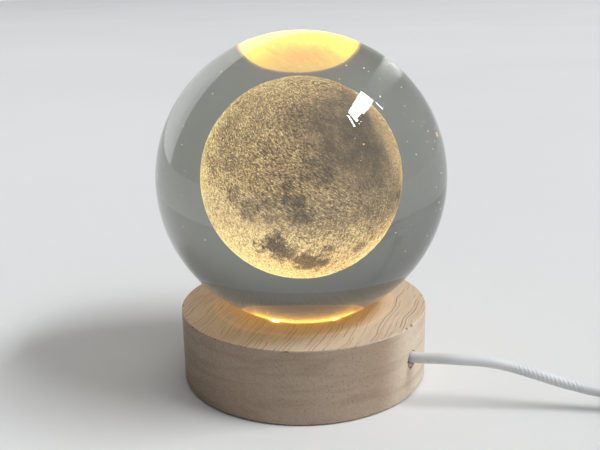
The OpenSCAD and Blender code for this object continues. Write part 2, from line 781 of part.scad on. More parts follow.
module plug_contacts() {
    tongue_top = -shell_h / 2 + shell_t + shell_gap + tongue_t;
    color("gold") in_plug() for (y = [-3.5, -1, 1, 3.5]) {
        l = abs(y) > 2 ? 7.4 : 6.4;
        translate([shell_tip_x - 1.2 - l, y - 0.5, tongue_top]) cube([l, 1, contact_t]);
    }
}

wooden_base();
led_board();
led_packages();
led_lenses();
board_resistors();
solder_joints();
wire_positive();
wire_negative();
board_screws();
bottom_cover();
cover_screws();
non_slip_pad();
strain_tie();
cord_inner();
crystal_ball();
moon_engraving();
cord_lead();
switch_lower_shell();
switch_upper_shell();
switch_rocker();
switch_bridge();
switch_contacts();
switch_screws();
switch_wires();
switch_cord_ends();
cord_link();
cord_coil();
cord_tail();
coil_tie();
plug_grip();
plug_shell();
plug_tongue();
plug_contacts();
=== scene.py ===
# %% [markdown]
# # A crystal ball lamp
# A clear glass ball stands on a low beech base. A moon is engraved inside the glass with a laser, as a shell
# of tiny cracks. Lights in the base shine up through the ground flat under the ball, so that the moon and
# the two images of the flat glow amber. A white cord with a hand switch leaves the base and ends in a
# charger plug.
#
# The solids of the lamp come in as a fixed frame, in metres, with +Z up and the origin on the table under the
# middle of the base. This script gives each of them its finish, and builds anew what needs more than a plain
# solid: the glass, the engraving and the cord.

# %% Load the lamp's solids
import math

import bmesh
import bpy
import numpy as np
from mathutils import Matrix, Vector, noise


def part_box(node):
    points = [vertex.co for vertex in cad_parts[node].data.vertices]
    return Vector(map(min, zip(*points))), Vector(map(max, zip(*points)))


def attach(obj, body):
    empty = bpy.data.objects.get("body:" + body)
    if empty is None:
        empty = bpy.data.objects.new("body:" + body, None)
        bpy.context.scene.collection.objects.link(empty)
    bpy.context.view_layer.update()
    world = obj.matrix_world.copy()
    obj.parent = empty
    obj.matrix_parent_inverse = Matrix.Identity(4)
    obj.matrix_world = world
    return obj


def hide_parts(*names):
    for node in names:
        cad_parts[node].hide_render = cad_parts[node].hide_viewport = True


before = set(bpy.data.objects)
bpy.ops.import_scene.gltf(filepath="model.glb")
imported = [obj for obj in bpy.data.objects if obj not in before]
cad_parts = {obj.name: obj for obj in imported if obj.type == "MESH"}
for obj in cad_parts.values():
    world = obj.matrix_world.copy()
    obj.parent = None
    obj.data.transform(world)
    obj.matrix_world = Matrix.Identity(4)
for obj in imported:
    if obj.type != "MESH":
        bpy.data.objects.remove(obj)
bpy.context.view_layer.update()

# %% [markdown]
# ## Sizes of the ball and the base
# The sizes that the looks need are read from the boxes of the solids, so a change there carries over. The
# ball's box ends at the flat that it stands on, and the top of the box is the top of the sphere.

# %% Measure the ball and the base
MM = 0.001
ball_low, ball_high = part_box("crystal_ball")
ball_r = (ball_high.x - ball_low.x) / 2
ball_centre = Vector((0, 0, ball_high.z - ball_r))
flat_z = ball_low.z
flat_r = math.sqrt(ball_r**2 - (ball_centre.z - flat_z) ** 2)
moon_low, moon_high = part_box("moon_engraving")
moon_r = max(moon_high.x, moon_high.y, -moon_low.x, -moon_low.y)
base_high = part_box("wooden_base")[1]
base_r = base_high.x
print(f"Ball radius {ball_r:.4f}, flat radius {flat_r:.4f}")
print(f"Moon radius {moon_r:.4f}, base radius {base_r:.4f}")

# %% [markdown]
# ## Camera
# The photograph looks a little down on the lamp from close by, with the cord leaving to the right. The camera
# stands on a bearing around the lamp, and its turn, pitch and roll are small corrections to looking straight
# at the axis. A matrix built from its own right, up and back directions avoids any order of Euler angles.

# %% Place the camera
CAMERA_BEARING = math.radians(-56.2)
CAMERA_DISTANCE = 0.23028
CAMERA_HEIGHT = 0.11156
CAMERA_PITCH = math.radians(16.4)
CAMERA_TURN = math.radians(-0.15)
CAMERA_ROLL = math.radians(-1.11)
CAMERA_LENS = 51.04


def on_bearing(bearing, height):
    """Direction at a bearing around +Z and a height over the horizon, both in radians."""
    return Vector(
        (math.cos(bearing) * math.cos(height), math.sin(bearing) * math.cos(height), math.sin(height))
    )


def make_camera():
    """The camera that sees the lamp as the photograph does."""
    ahead = on_bearing(CAMERA_BEARING + math.pi - CAMERA_TURN, -CAMERA_PITCH)
    level = ahead.cross(Vector((0, 0, 1))).normalized()
    above = level.cross(ahead)
    right = math.cos(CAMERA_ROLL) * level + math.sin(CAMERA_ROLL) * above
    up = math.cos(CAMERA_ROLL) * above - math.sin(CAMERA_ROLL) * level
    camera = bpy.data.objects.new("camera", bpy.data.cameras.new("camera"))
    camera.data.lens = CAMERA_LENS
    camera.data.clip_start = 0.01
    at = CAMERA_DISTANCE * on_bearing(CAMERA_BEARING, 0) + Vector((0, 0, CAMERA_HEIGHT))
    turned = Matrix((right, up, -ahead)).transposed().to_4x4()
    camera.matrix_world = Matrix.Translation(at) @ turned
    bpy.context.scene.collection.objects.link(camera)
    bpy.context.scene.camera = camera
    return camera


camera = make_camera()
print("Camera at", [round(x, 4) for x in camera.matrix_world.translation])

# %% [markdown]
# ## Helpers for meshes
# A finished piece's object stays at the origin with its place in its mesh, as the solids' own objects do.
# Then a pattern that reads Object coordinates is the same size on every piece.

# %% Mesh helpers
def add_piece(name, mesh, body, replaces=()):
    """Links a mesh as a piece that rides on a body of the lamp."""
    piece = bpy.data.objects.new(name, mesh)
    bpy.context.scene.collection.objects.link(piece)
    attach(piece, body)
    if replaces:
        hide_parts(*replaces)
    return piece


def new_mesh(name, points, faces, smooth=True):
    """A mesh made of points and of faces between them."""
    mesh = bpy.data.meshes.new(name)
    mesh.from_pydata([tuple(p) for p in points], [], faces)
    mesh.polygons.foreach_set("use_smooth", [smooth] * len(mesh.polygons))
    mesh.validate()
    return mesh


# %% [markdown]
# ## Route of the cord
# The cord is 3 mm thick and supple. It leaves the base level, arches over and comes down into the hand
# switch, which lies on the table. From there it runs to a coil that puts most of its length away, and its
# tail lies over the coil and ends in the plug. The route's points are listed, and the coil is wound
# by a formula: in over the lower layer, up a layer in the half turn at its middle, and out over the upper
# one.

# %% Points of the cord's route
CORD_D = 3 * MM
CORD_Z = 0.0118
CORD_START_X = 0.017
CORD_BORE_X = 0.026
SWITCH_AT = Vector((0.088, 0.0224, 0.0053))
SWITCH_TURN = math.radians(26)
SWITCH_LENGTH = 0.044
SWITCH_STUB = 0.008
COIL_AT = Vector((0.13, 0, 0))
COIL_IN_R = 0.010055
COIL_X = 0.155805
COIL_PITCH = 0.0035
COIL_TURNS = 9
COIL_LOW_Z = 0.00215
COIL_RISE = 0.00345
COIL_STEPS = 24
PLUG_AT = Vector((0.13, -0.007, 0.01105))


def from_switch(x, y=0.0, z=0.0):
    """A place in the hand switch, whose X runs along the cord, as a place on the table."""
    return SWITCH_AT + Matrix.Rotation(SWITCH_TURN, 3, "Z") @ Vector((x, y, z))


def coil_point(turn):
    """The place of the wound cord after this many turns."""
    half = COIL_TURNS / 2
    u = min(1, max(0, 2 * (turn - half) + 0.5))
    r = COIL_IN_R + COIL_PITCH * abs(turn - half)
    z = COIL_LOW_Z + COIL_RISE * u * u * (3 - 2 * u)
    return COIL_AT + Vector((r * math.cos(math.tau * turn), -r * math.sin(math.tau * turn), z))


EXIT = Vector((base_r, 0, CORD_Z))
LEAD = [
    EXIT, (0.038, 0, 0.0121), (0.0412, 0.0006, 0.0126), (0.0445, 0.0015, 0.0129), (0.0478, 0.0029, 0.0129),
    (0.0537, 0.0061, 0.0125), (0.0597, 0.0092, 0.0112), (0.066, 0.0122, 0.0092), (0.072, 0.015, 0.0073),
    (0.078, 0.0178, 0.0058), (0.0815, 0.0194, 0.0053), from_switch(-0.003), from_switch(0),
]
LINK = [
    from_switch(SWITCH_LENGTH), from_switch(SWITCH_LENGTH + 0.003), (0.135, 0.0444, 0.0047),
    (0.1412, 0.0445, 0.0038), (0.1471, 0.0424, 0.0028), (0.1519, 0.0384, 0.002), (0.155, 0.033, 0.0016),
    (0.15568, 0.0268, 0.0015), (0.15573, 0.02, 0.0015), (0.15574, 0.013, 0.0017), (COIL_X, 0.006, COIL_LOW_Z),
    (COIL_X, 0.003, COIL_LOW_Z),
]
COIL = [coil_point(i / COIL_STEPS) for i in range(COIL_TURNS * COIL_STEPS + 1)]
TAIL = [
    (COIL_X, -0.003, 0.0056), (COIL_X, -0.006, 0.0056), (0.1557, -0.01, 0.006), (0.1553, -0.0136, 0.0063),
    (0.1542, -0.0166, 0.0068), (0.1522, -0.0192, 0.0074), (0.1495, -0.0213, 0.008), (0.1464, -0.0226, 0.0087),
    (0.143, -0.023, 0.0093), (0.1396, -0.0226, 0.0098), (0.1365, -0.0213, 0.0103), (0.1338, -0.0192, 0.0107),
    (0.1317, -0.0164, 0.011), (0.1304, -0.0132, 0.0111), PLUG_AT - Vector((0, 0.003, 0)), PLUG_AT,
]
print("Route points:", len(LEAD), len(LINK), len(COIL), len(TAIL))

# %% [markdown]
# ## Sweeping a round tube
# A tube needs an even spacing and cross-sections that don't twist. The route is first drawn as a Catmull-Rom
# curve through its points and divided into even steps. Each ring's side direction is the last ring's, made
# square to the new heading, so it never spins about the cord. The tube gets a UV map whose U is the length
# along the cord in metres and whose V goes once around, for patterns that follow it.

# %% Sweep a tube along points
TUBE_SIDES = 14


def rounded(points, parts=5):
    """Catmull-Rom curve through the points, with this many parts to each stretch."""
    p = [Vector(q) for q in points]
    p = [2 * p[0] - p[1], *p, 2 * p[-1] - p[-2]]
    curve = []
    for a, b, c, d in zip(p, p[1:], p[2:], p[3:]):
        for t in (i / parts for i in range(parts)):
            bend = (2 * a - 5 * b + 4 * c - d) * t**2 + (3 * b - a - 3 * c + d) * t**3
            curve.append(0.5 * (2 * b + (c - a) * t + bend))
    return [*curve, p[-2]]


def evenly(points, step):
    """The same line with its points a steady step apart."""
    p = np.array([tuple(q) for q in points])
    along = np.r_[0, np.cumsum(np.linalg.norm(np.diff(p, axis=0), axis=1))]
    at = np.linspace(0, along[-1], max(2, round(along[-1] / step) + 1))
    return [Vector(q) for q in np.stack([np.interp(at, along, p[:, i]) for i in range(3)], axis=1)]


def add_tube(build, line, radius, sides=TUBE_SIDES, material=0, start_u=0.0):
    """Adds a closed tube along the line to a bmesh, with its UV map."""
    uv = build.loops.layers.uv.verify()
    side = Vector((0, 0, 1))
    rings, u = [], [start_u]
    for i, p in enumerate(line):
        ahead = (line[min(i + 1, len(line) - 1)] - line[max(i - 1, 0)]).normalized()
        side = (side - side.dot(ahead) * ahead).normalized()
        up = ahead.cross(side)
        turns = [math.tau * k / sides for k in range(sides)]
        rings.append([build.verts.new(p + radius * (math.cos(a) * side + math.sin(a) * up)) for a in turns])
        if i:
            u.append(u[-1] + (p - line[i - 1]).length)
    for i in range(len(rings) - 1):
        for k in range(sides):
            n = (k + 1) % sides
            face = build.faces.new((rings[i][k], rings[i][n], rings[i + 1][n], rings[i + 1][k]))
            face.smooth = True
            face.material_index = material
            corners = [(u[i], k), (u[i], k + 1), (u[i + 1], k + 1), (u[i + 1], k)]
            for loop, (along, around) in zip(face.loops, corners):
                loop[uv].uv = (along, around / sides)
    for ring in (rings[0][::-1], rings[-1]):
        build.faces.new(ring).material_index = material
    return u[-1]


# %% [markdown]
# ## The cord as one piece
# The sheath runs from the tie inside the base into the hand switch, is cut back there, and goes on to the
# plug. In the switch one of its wires runs through and the other is cut and ends on the two contacts. The
# sheath and the wire that runs through are one mesh, because they are one cord.

# %% Make the cord
SHEATH_STEP = 1 * MM
WIRE_D = 1.2 * MM
WIRE_SIDES = 10
WIRE_APART = 0.75 * MM
WIRE_SIDE = 2.4 * MM
WIRE_LOW = 1 * MM
WIRE_STEP = 0.7 * MM
SWITCH_STEPS = 28


def make_cord():
    """The cord's mesh, and the points that its whole length follows."""
    near, far = SWITCH_STUB, SWITCH_LENGTH - SWITCH_STUB
    inside = [(CORD_START_X, 0, CORD_Z), (CORD_BORE_X, 0, CORD_Z)]
    first = evenly(rounded([*inside, *LEAD, from_switch(near)]), SHEATH_STEP)
    last = evenly(rounded([from_switch(far), *LINK, *COIL, *TAIL]), SHEATH_STEP)
    wire = rounded([
        from_switch(near, -WIRE_APART),
        from_switch(near + 2 * MM, -WIRE_APART),
        from_switch(near + 5 * MM, -WIRE_SIDE, -WIRE_LOW),
        from_switch(far - 5 * MM, -WIRE_SIDE, -WIRE_LOW),
        from_switch(far - 2 * MM, -WIRE_APART),
        from_switch(far, -WIRE_APART),
    ])
    build = bmesh.new()
    u = add_tube(build, first, CORD_D / 2)
    add_tube(build, evenly(wire, WIRE_STEP), WIRE_D / 2, sides=WIRE_SIDES, material=1)
    add_tube(build, last, CORD_D / 2, start_u=u + far - near)
    mesh = bpy.data.meshes.new("cord")
    build.to_mesh(mesh)
    build.free()
    middle = [from_switch(near + (far - near) * i / SWITCH_STEPS) for i in range(1, SWITCH_STEPS)]
    return mesh, [*first, *middle, *last]


cord_mesh, cord_path = make_cord()
cord = add_piece(
    "cord", cord_mesh, "base",
    replaces=("cord_inner", "cord_lead", "cord_link", "cord_coil", "cord_tail", "switch_cord_ends"),
)

# %% [markdown]
# ## Cut wires in the hand switch
# A hand switch breaks one of the cord's two wires. Its two cut ends leave the sheath beside the wire that
# runs through, and bend down to the contacts on the floor of the switch. They are short tubes from the same
# sweep, and a piece of their own that the cord carries.

# %% Make the cut wires
SWITCH_ROOM_FLOOR = -3.3 * MM
WIRE_REST = -2.9 * MM


def make_cut_wires():
    """The wire that the switch cuts, from each end of the cord down to its contact."""
    build = bmesh.new()
    ends = ((SWITCH_STUB, 1, 8 * MM), (SWITCH_LENGTH - SWITCH_STUB, -1, 7 * MM))
    for start, lean, reach in ends:
        bend = start + lean * 3 * MM
        line = rounded([
            from_switch(start, WIRE_APART),
            from_switch(start + lean * 1.2 * MM, WIRE_APART, -0.3 * MM),
            from_switch(bend, WIRE_APART, SWITCH_ROOM_FLOOR / 2),
            from_switch(bend + lean * 2 * MM, WIRE_APART, WIRE_REST),
            from_switch(start + lean * reach, WIRE_APART, WIRE_REST),
        ])
        add_tube(build, evenly(line, WIRE_STEP), WIRE_D / 2, sides=WIRE_SIDES)
    mesh = bpy.data.meshes.new("switch_cut_wires")
    build.to_mesh(mesh)
    build.free()
    return mesh


cut_wires = add_piece(
    "switch_cut_wires", make_cut_wires(), "base", replaces=("switch_wires",)
)
print("Cut wires:", len(cut_wires.data.polygons), "faces")

# %% [markdown]
# ## Helpers for nodes
# Every material and every Geometry Nodes tree below is built with one small helper. It adds a node and fills
# its sockets: a plain value is written in, and a socket of another node is linked.

# %% Node helpers
def add_node(tree, kind, inputs=None, **settings):
    """Adds a node with its settings, and fills its sockets."""
    node = tree.nodes.new(kind)
    for name, value in settings.items():
        setattr(node, name, value)
    for key, value in (inputs or {}).items():
        if isinstance(value, bpy.types.NodeSocket):
            tree.links.new(value, node.inputs[key])
        else:
            node.inputs[key].default_value = value
    return node


def add_math(tree, operation, a, b=0.0):
    """One number from two others, or from one where the operation needs no more."""
    return add_node(tree, "ShaderNodeMath", {0: a, 1: b}, operation=operation).outputs[0]


def times(tree, a, b):
    """Multiplies two numbers, which is what most of the patterns below need."""
    return add_node(tree, "ShaderNodeMath", {0: a, 1: b}, operation="MULTIPLY").outputs[0]


def add_mix(tree, factor, a, b, blend="MIX"):
    """Mixes two colours."""
    node = add_node(tree, "ShaderNodeMix", {0: factor, 6: a, 7: b}, data_type="RGBA", blend_type=blend)
    return node.outputs[2]


def add_range(tree, value, low, high, to_low=0.0, to_high=1.0, smooth=False):
    """Turns the range from low to high into another one, with steady values beyond its ends."""
    node = add_node(tree, "ShaderNodeMapRange", {0: value, 1: low, 2: high, 3: to_low, 4: to_high})
    node.interpolation_type = "SMOOTHSTEP" if smooth else "LINEAR"
    return node.outputs[0]


def add_noise(tree, vector, scale, detail=2.0, roughness=0.5, distortion=0.0):
    """Soft noise, whose scale is its number of lumps in a metre."""
    inputs = {"Vector": vector, "Scale": scale, "Detail": detail}
    inputs |= {"Roughness": roughness, "Distortion": distortion}
    return add_node(tree, "ShaderNodeTexNoise", inputs).outputs["Fac"]


# %% Helpers for places on a piece
def object_place(tree):
    """The place on a piece, in metres."""
    return add_node(tree, "ShaderNodeTexCoord").outputs["Object"]


def axes_of(tree, vector):
    """The X, Y and Z of a vector."""
    return add_node(tree, "ShaderNodeSeparateXYZ", {0: vector}).outputs


def drawn_out(tree, place, scale):
    """A place squeezed along some axes, so that a pattern on it is drawn out along them."""
    return add_node(tree, "ShaderNodeMapping", {"Vector": place, "Scale": scale}).outputs[0]


def turned_level(tree, place, angle):
    """A place turned about the vertical axis."""
    return add_node(tree, "ShaderNodeMapping", {"Vector": place, "Rotation": (0, 0, angle)}).outputs[0]


def along_axis(tree, vector, axis):
    """How far a vector reaches along an axis."""
    node = add_node(tree, "ShaderNodeVectorMath", {0: vector, 1: axis}, operation="DOT_PRODUCT")
    return node.outputs["Value"]


def distance_from_axis(tree, place):
    """How far a place is from the vertical axis."""
    x, y, _ = axes_of(tree, place)
    level = add_node(tree, "ShaderNodeCombineXYZ", {0: x, 1: y}).outputs[0]
    return add_node(tree, "ShaderNodeVectorMath", {0: level}, operation="LENGTH").outputs["Value"]


# %% Material helpers
def new_material(name, **shader_values):
    """A material with its Principled shader, and the values that are the same all over it."""
    material = bpy.data.materials.new(name)
    material.use_nodes = True
    tree = material.node_tree
    shader = tree.nodes["Principled BSDF"]
    for key, value in shader_values.items():
        shader.inputs[key.replace("_", " ")].default_value = value
    return material, tree, shader


def add_bump(tree, shader, height, distance):
    """Gives a shader a bump of this height in metres."""
    bump = add_node(tree, "ShaderNodeBump", {"Height": height, "Distance": distance, "Strength": 1.0})
    tree.links.new(bump.outputs[0], shader.inputs["Normal"])


def finish_with(material, *nodes):
    """Gives solids of the lamp this material."""
    for name in nodes:
        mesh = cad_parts[name].data
        mesh.materials.clear()
        mesh.materials.append(material)


# %% [markdown]
# ## Shader groups
# Two effects are shared. Moulded plastic has a broad change of tone, a fine grain from its mould and a few
# dark specks. Worked metal has fine marks in one direction and patches that are a little duller. Each group
# takes a place and its own values, and gives a colour, a roughness and a height for the bump.

# %% Helpers for shader groups
NUMBER = "NodeSocketFloat"
COLOUR = "NodeSocketColor"
PLACE = "NodeSocketVector"


def new_group(name, sockets):
    """An empty group with these inputs, which gives a colour, a roughness and a height."""
    group = bpy.data.node_groups.new(name, "ShaderNodeTree")
    for label, kind, value in sockets:
        socket = group.interface.new_socket(label, in_out="INPUT", socket_type=kind)
        if value is not None:
            socket.default_value = value
    for label, kind in (("Colour", COLOUR), ("Roughness", NUMBER), ("Height", NUMBER)):
        group.interface.new_socket(label, in_out="OUTPUT", socket_type=kind)
    return group, group.nodes.new("NodeGroupInput").outputs, group.nodes.new("NodeGroupOutput").inputs


def add_rougher(tree, pattern, by, roughness):
    """A roughness that grows with a pattern, by this much at its highest."""
    inputs = {0: pattern, 1: by, 2: roughness}
    return add_node(tree, "ShaderNodeMath", inputs, operation="MULTIPLY_ADD").outputs[0]


# %% Group: moulded plastic
def make_plastic_group():
    """Plastic from a mould, with a broad change of tone, a fine grain and dark specks."""
    group, given, result = new_group(
        "moulded_plastic",
        [
            ("Place", PLACE, None), ("Colour", COLOUR, (0.8, 0.8, 0.8, 1)), ("Grain", NUMBER, 2500.0),
            ("Tone", NUMBER, 0.06), ("Roughness", NUMBER, 0.4),
        ],
    )
    broad = add_noise(group, given["Place"], 90.0, 3.0)
    fine = add_noise(group, given["Place"], given["Grain"], 2.0)
    specks = add_noise(group, given["Place"], 1400.0, 0.0)
    dark = add_math(group, "SUBTRACT", 1.0, given["Tone"])
    tone = add_range(group, broad, 0.35, 0.65, dark, 1.0)
    shaded = add_mix(group, 1.0, given["Colour"], tone, "MULTIPLY")
    speck = add_range(group, specks, 0.79, 0.83, 0.0, 0.35)
    group.links.new(add_mix(group, speck, shaded, (0.25, 0.23, 0.2, 1)), result["Colour"])
    group.links.new(add_rougher(group, broad, 0.12, given["Roughness"]), result["Roughness"])
    group.links.new(add_math(group, "ADD", fine, times(group, broad, 0.6)), result["Height"])
    return group


plastic_group = make_plastic_group()
print("Group:", plastic_group.name)

# %% Group: worked metal
def make_metal_group():
    """Metal with fine marks in one direction and patches that are a little duller."""
    group, given, result = new_group(
        "worked_metal",
        [
            ("Place", PLACE, None), ("Colour", COLOUR, (0.6, 0.6, 0.6, 1)), ("Marks", NUMBER, 3000.0),
            ("Roughness", NUMBER, 0.25),
        ],
    )
    along = drawn_out(group, given["Place"], (0.08, 1.0, 1.0))
    marks = add_noise(group, along, given["Marks"], 3.0, 0.6)
    dull = add_noise(group, given["Place"], 350.0, 4.0, 0.6)
    tone = add_range(group, marks, 0.3, 0.7, 0.86, 1.0)
    shaded = add_mix(group, 1.0, given["Colour"], tone, "MULTIPLY")
    stain = add_range(group, dull, 0.55, 0.75, 0.0, 0.4)
    group.links.new(add_mix(group, stain, shaded, (0.3, 0.28, 0.25, 1)), result["Colour"])
    group.links.new(add_rougher(group, dull, 0.3, given["Roughness"]), result["Roughness"])
    group.links.new(marks, result["Height"])
    return group


metal_group = make_metal_group()
print("Group:", metal_group.name)

# %% Plastic and metal from the groups
def use_group(tree, shader, group, bump, **values):
    """Feeds a shader from one of the groups, with a bump of this height in metres."""
    inputs = {"Place": object_place(tree), **values}
    node = add_node(tree, "ShaderNodeGroup", inputs, node_tree=group)
    tree.links.new(node.outputs["Colour"], shader.inputs["Base Color"])
    tree.links.new(node.outputs["Roughness"], shader.inputs["Roughness"])
    add_bump(tree, shader, node.outputs["Height"], bump)
    return node


def plastic(name, colour, roughness=0.4, grain=2500.0, tone=0.06, bump=0.00002):
    material, tree, shader = new_material(name)
    values = {"Colour": (*colour, 1), "Grain": grain, "Tone": tone, "Roughness": roughness}
    use_group(tree, shader, plastic_group, bump, **values)
    return material


def metal(name, colour, roughness=0.25, marks=3000.0, bump=0.00001):
    material, tree, shader = new_material(name, Metallic=1.0)
    use_group(tree, shader, metal_group, bump, Colour=(*colour, 1), Marks=marks, Roughness=roughness)
    return material


# %% [markdown]
# ## Sheath of the cord
# The sheath is soft white plastic. Two wires are twisted inside it, and where they press through they leave
# a slanting lay of low ridges. The UV map of the tube says how far along and how far around a place is, so a
# sine wave of both draws the lay. It shows on one stretch near the lamp and on others that noise picks.

# %% Cord material
SHEATH_COLOUR = (0.68, 0.69, 0.695, 1)
LAY_STEP = 0.0012
LAY_SLANT = -5


def make_cord_material():
    """Soft white sheath, with a faint slanting lay where the two wires inside press through."""
    material, tree, shader = new_material("cord_sheath", IOR=1.45)
    uv = add_node(tree, "ShaderNodeTexCoord").outputs["UV"]
    values = {"Colour": SHEATH_COLOUR, "Grain": 1800.0, "Tone": 0.08, "Roughness": 0.42}
    sheath = use_group(tree, shader, plastic_group, 0.00004, **values)
    length, around, _ = axes_of(tree, uv)
    along = times(tree, length, math.tau / LAY_STEP)
    phase = add_math(tree, "ADD", along, times(tree, around, math.tau * LAY_SLANT))
    begins = add_range(tree, length, 0.041, 0.048, smooth=True)
    ends = add_range(tree, length, 0.067, 0.06, smooth=True)
    first = times(tree, begins, ends)
    stretch = add_node(tree, "ShaderNodeCombineXYZ", {0: length}).outputs[0]
    others = add_range(tree, add_noise(tree, stretch, 45.0, 1.0), 0.5, 0.6, 0.05, 1.0, smooth=True)
    others = times(tree, others, add_range(tree, length, 0.075, 0.08))
    ridges = times(tree, add_math(tree, "SINE", phase), add_math(tree, "MAXIMUM", first, others))
    height = add_math(tree, "ADD", sheath.outputs["Height"], times(tree, ridges, 0.8))
    tree.links.new(height, tree.nodes["Bump"].inputs["Height"])
    return material


cord.data.materials.append(make_cord_material())
cord.data.materials.append(plastic("wire_sheath_blue", (0.05, 0.12, 0.35)))
cut_wires.data.materials.append(plastic("wire_sheath_brown", (0.23, 0.09, 0.05)))
print("Cord materials:", [material.name for material in cord.data.materials])

# %% [markdown]
# ## The glass ball
# The ball is one closed skin of glass: a sphere that stops at the ground flat, with a small bevel around it.
# A revolved outline gives it an exact flat, where a boolean cut would leave slivers. Light bends at this skin
# alone, because the moon inside is engraved in the same glass.

# %% Revolve the glass ball
GLASS_TURNS = 192
GLASS_RINGS = 96
FLAT_BEVEL = 0.2 * MM
FLAT_LIFT = 0.04 * MM
FLAT_RINGS = (0, 0.3, 0.6, 0.85)


def revolve(build, outline, turns, materials=None):
    """Revolves an outline of (radius, height) places, from the bottom up, about the vertical axis."""
    rings = []
    for r, z in outline:
        if r == 0:
            rings.append([build.verts.new((0, 0, z))] * turns)
        else:
            angles = [math.tau * k / turns for k in range(turns)]
            rings.append([build.verts.new((r * math.cos(a), r * math.sin(a), z)) for a in angles])
    for i in range(len(rings) - 1):
        for k in range(turns):
            n = (k + 1) % turns
            corners = (rings[i][k], rings[i][n], rings[i + 1][n], rings[i + 1][k])
            face = build.faces.new(tuple(dict.fromkeys(corners)))
            face.smooth = True
            face.material_index = materials[i] if materials else 0


def make_glass():
    """The ball's skin, with its sphere, its flat and its bevel in three material slots."""
    z = flat_z + FLAT_LIFT
    top_of_bevel = z + FLAT_BEVEL
    r_bevel = math.sqrt(ball_r**2 - (ball_centre.z - top_of_bevel) ** 2)
    low = math.asin((top_of_bevel - ball_centre.z) / ball_r)
    flat = [(flat_r * share, z) for share in FLAT_RINGS] + [(flat_r - FLAT_BEVEL, z)]
    angles = [low + (math.pi / 2 - low) * i / GLASS_RINGS for i in range(1, GLASS_RINGS)]
    sphere = [(ball_r * math.cos(a), ball_centre.z + ball_r * math.sin(a)) for a in angles]
    outline = [*flat, (r_bevel, top_of_bevel), *sphere, (0, ball_centre.z + ball_r)]
    build = bmesh.new()
    revolve(build, outline, GLASS_TURNS, [1] * (len(flat) - 1) + [2] + [0] * GLASS_RINGS)
    for edge in build.edges:
        edge.smooth = len({face.material_index for face in edge.link_faces}) < 2
    mesh = bpy.data.meshes.new("glass_ball")
    build.to_mesh(mesh)
    build.free()
    return mesh


glass_ball = add_piece("glass_ball", make_glass(), "ball", replaces=("crystal_ball",))
print("Glass ball:", len(glass_ball.data.polygons), "faces")

# %% [markdown]
# ## Finish of the glass
# Optical glass is clear. In this plain pale room a clear ball would look much paler than the one in the
# photograph, so the glass has a grey tint of its own, as a stand-in.
#
# The lamps light the ground flat from below. Lights behind rough glass render slowly and with much noise, so
# the flat and its bevel glow on their own as painted light, and the ball bends that light as it bends any
# other.
# Over the lamps of one side the bevel has painted sparks. The side of it that faces into the glass is an even
# amber.

# %% Polished glass
GLASS_IOR = 1.458
GLASS_TINT = (0.33, 0.333, 0.3, 1)


def make_clear_glass():
    """Polished optical glass, with faint smears that only change its gloss."""
    material, tree, shader = new_material(
        "clear_glass", Transmission_Weight=1.0, IOR=GLASS_IOR, Base_Color=GLASS_TINT
    )
    smears = add_noise(tree, object_place(tree), 60.0, 4.0, 0.6)
    tree.links.new(add_range(tree, smears, 0.5, 0.8, 0.0, 0.02), shader.inputs["Roughness"])
    return material


glass_ball.data.materials.append(make_clear_glass())

# %% Ground flat
FLAT_GLOW = 27.0
FLAT_INNER = (0.8, 0.36, 0.022, 1)
FLAT_OUTER = (1.0, 0.59, 0.04, 1)


def make_flat_glow():
    """Ground flat with a painted glow for the lamps below: brightest over the ring of lamps, dimmer and
    redder in the middle.
    """
    material, tree, shader = new_material(
        "ground_flat", Transmission_Weight=1.0, IOR=GLASS_IOR, Base_Color=(1.0, 0.93, 0.8, 1),
        Emission_Strength=FLAT_GLOW,
    )
    place = object_place(tree)
    grit = add_noise(tree, place, 1500.0, 3.0)
    streaks = add_noise(tree, drawn_out(tree, place, (1.0, 0.12, 1.0)), 1300.0, 2.0)
    out = distance_from_axis(tree, place)
    ring = add_range(tree, out, flat_r * 0.35, flat_r * 0.8, 0.0, 1.0, smooth=True)
    colour = add_mix(tree, ring, FLAT_INNER, FLAT_OUTER)
    grain = add_range(tree, grit, 0.3, 0.7, 0.88, 1.0)
    level = times(tree, add_range(tree, streaks, 0.3, 0.7, 0.72, 1.06), grain)
    edge = add_range(tree, out, flat_r - 2.2 * FLAT_BEVEL, flat_r - 1.1 * FLAT_BEVEL, 1.0, 0.55)
    lit = add_mix(tree, 1.0, colour, times(tree, level, edge), "MULTIPLY")
    tree.links.new(lit, shader.inputs["Emission Color"])
    tree.links.new(add_range(tree, grit, 0.3, 0.7, 0.3, 0.4), shader.inputs["Roughness"])
    return material


glass_ball.data.materials.append(make_flat_glow())

# %% Bevel of the flat
LAMPS = 6
BEVEL_GLOW = 3.6
SPARK_LEVEL = 18.0
SPARK_BEARING = math.radians(-84)
BEVEL_OUTSIDE = (1.0, 0.66, 0.2, 1)
BEVEL_INSIDE = (1.0, 0.4, 0.03, 1)


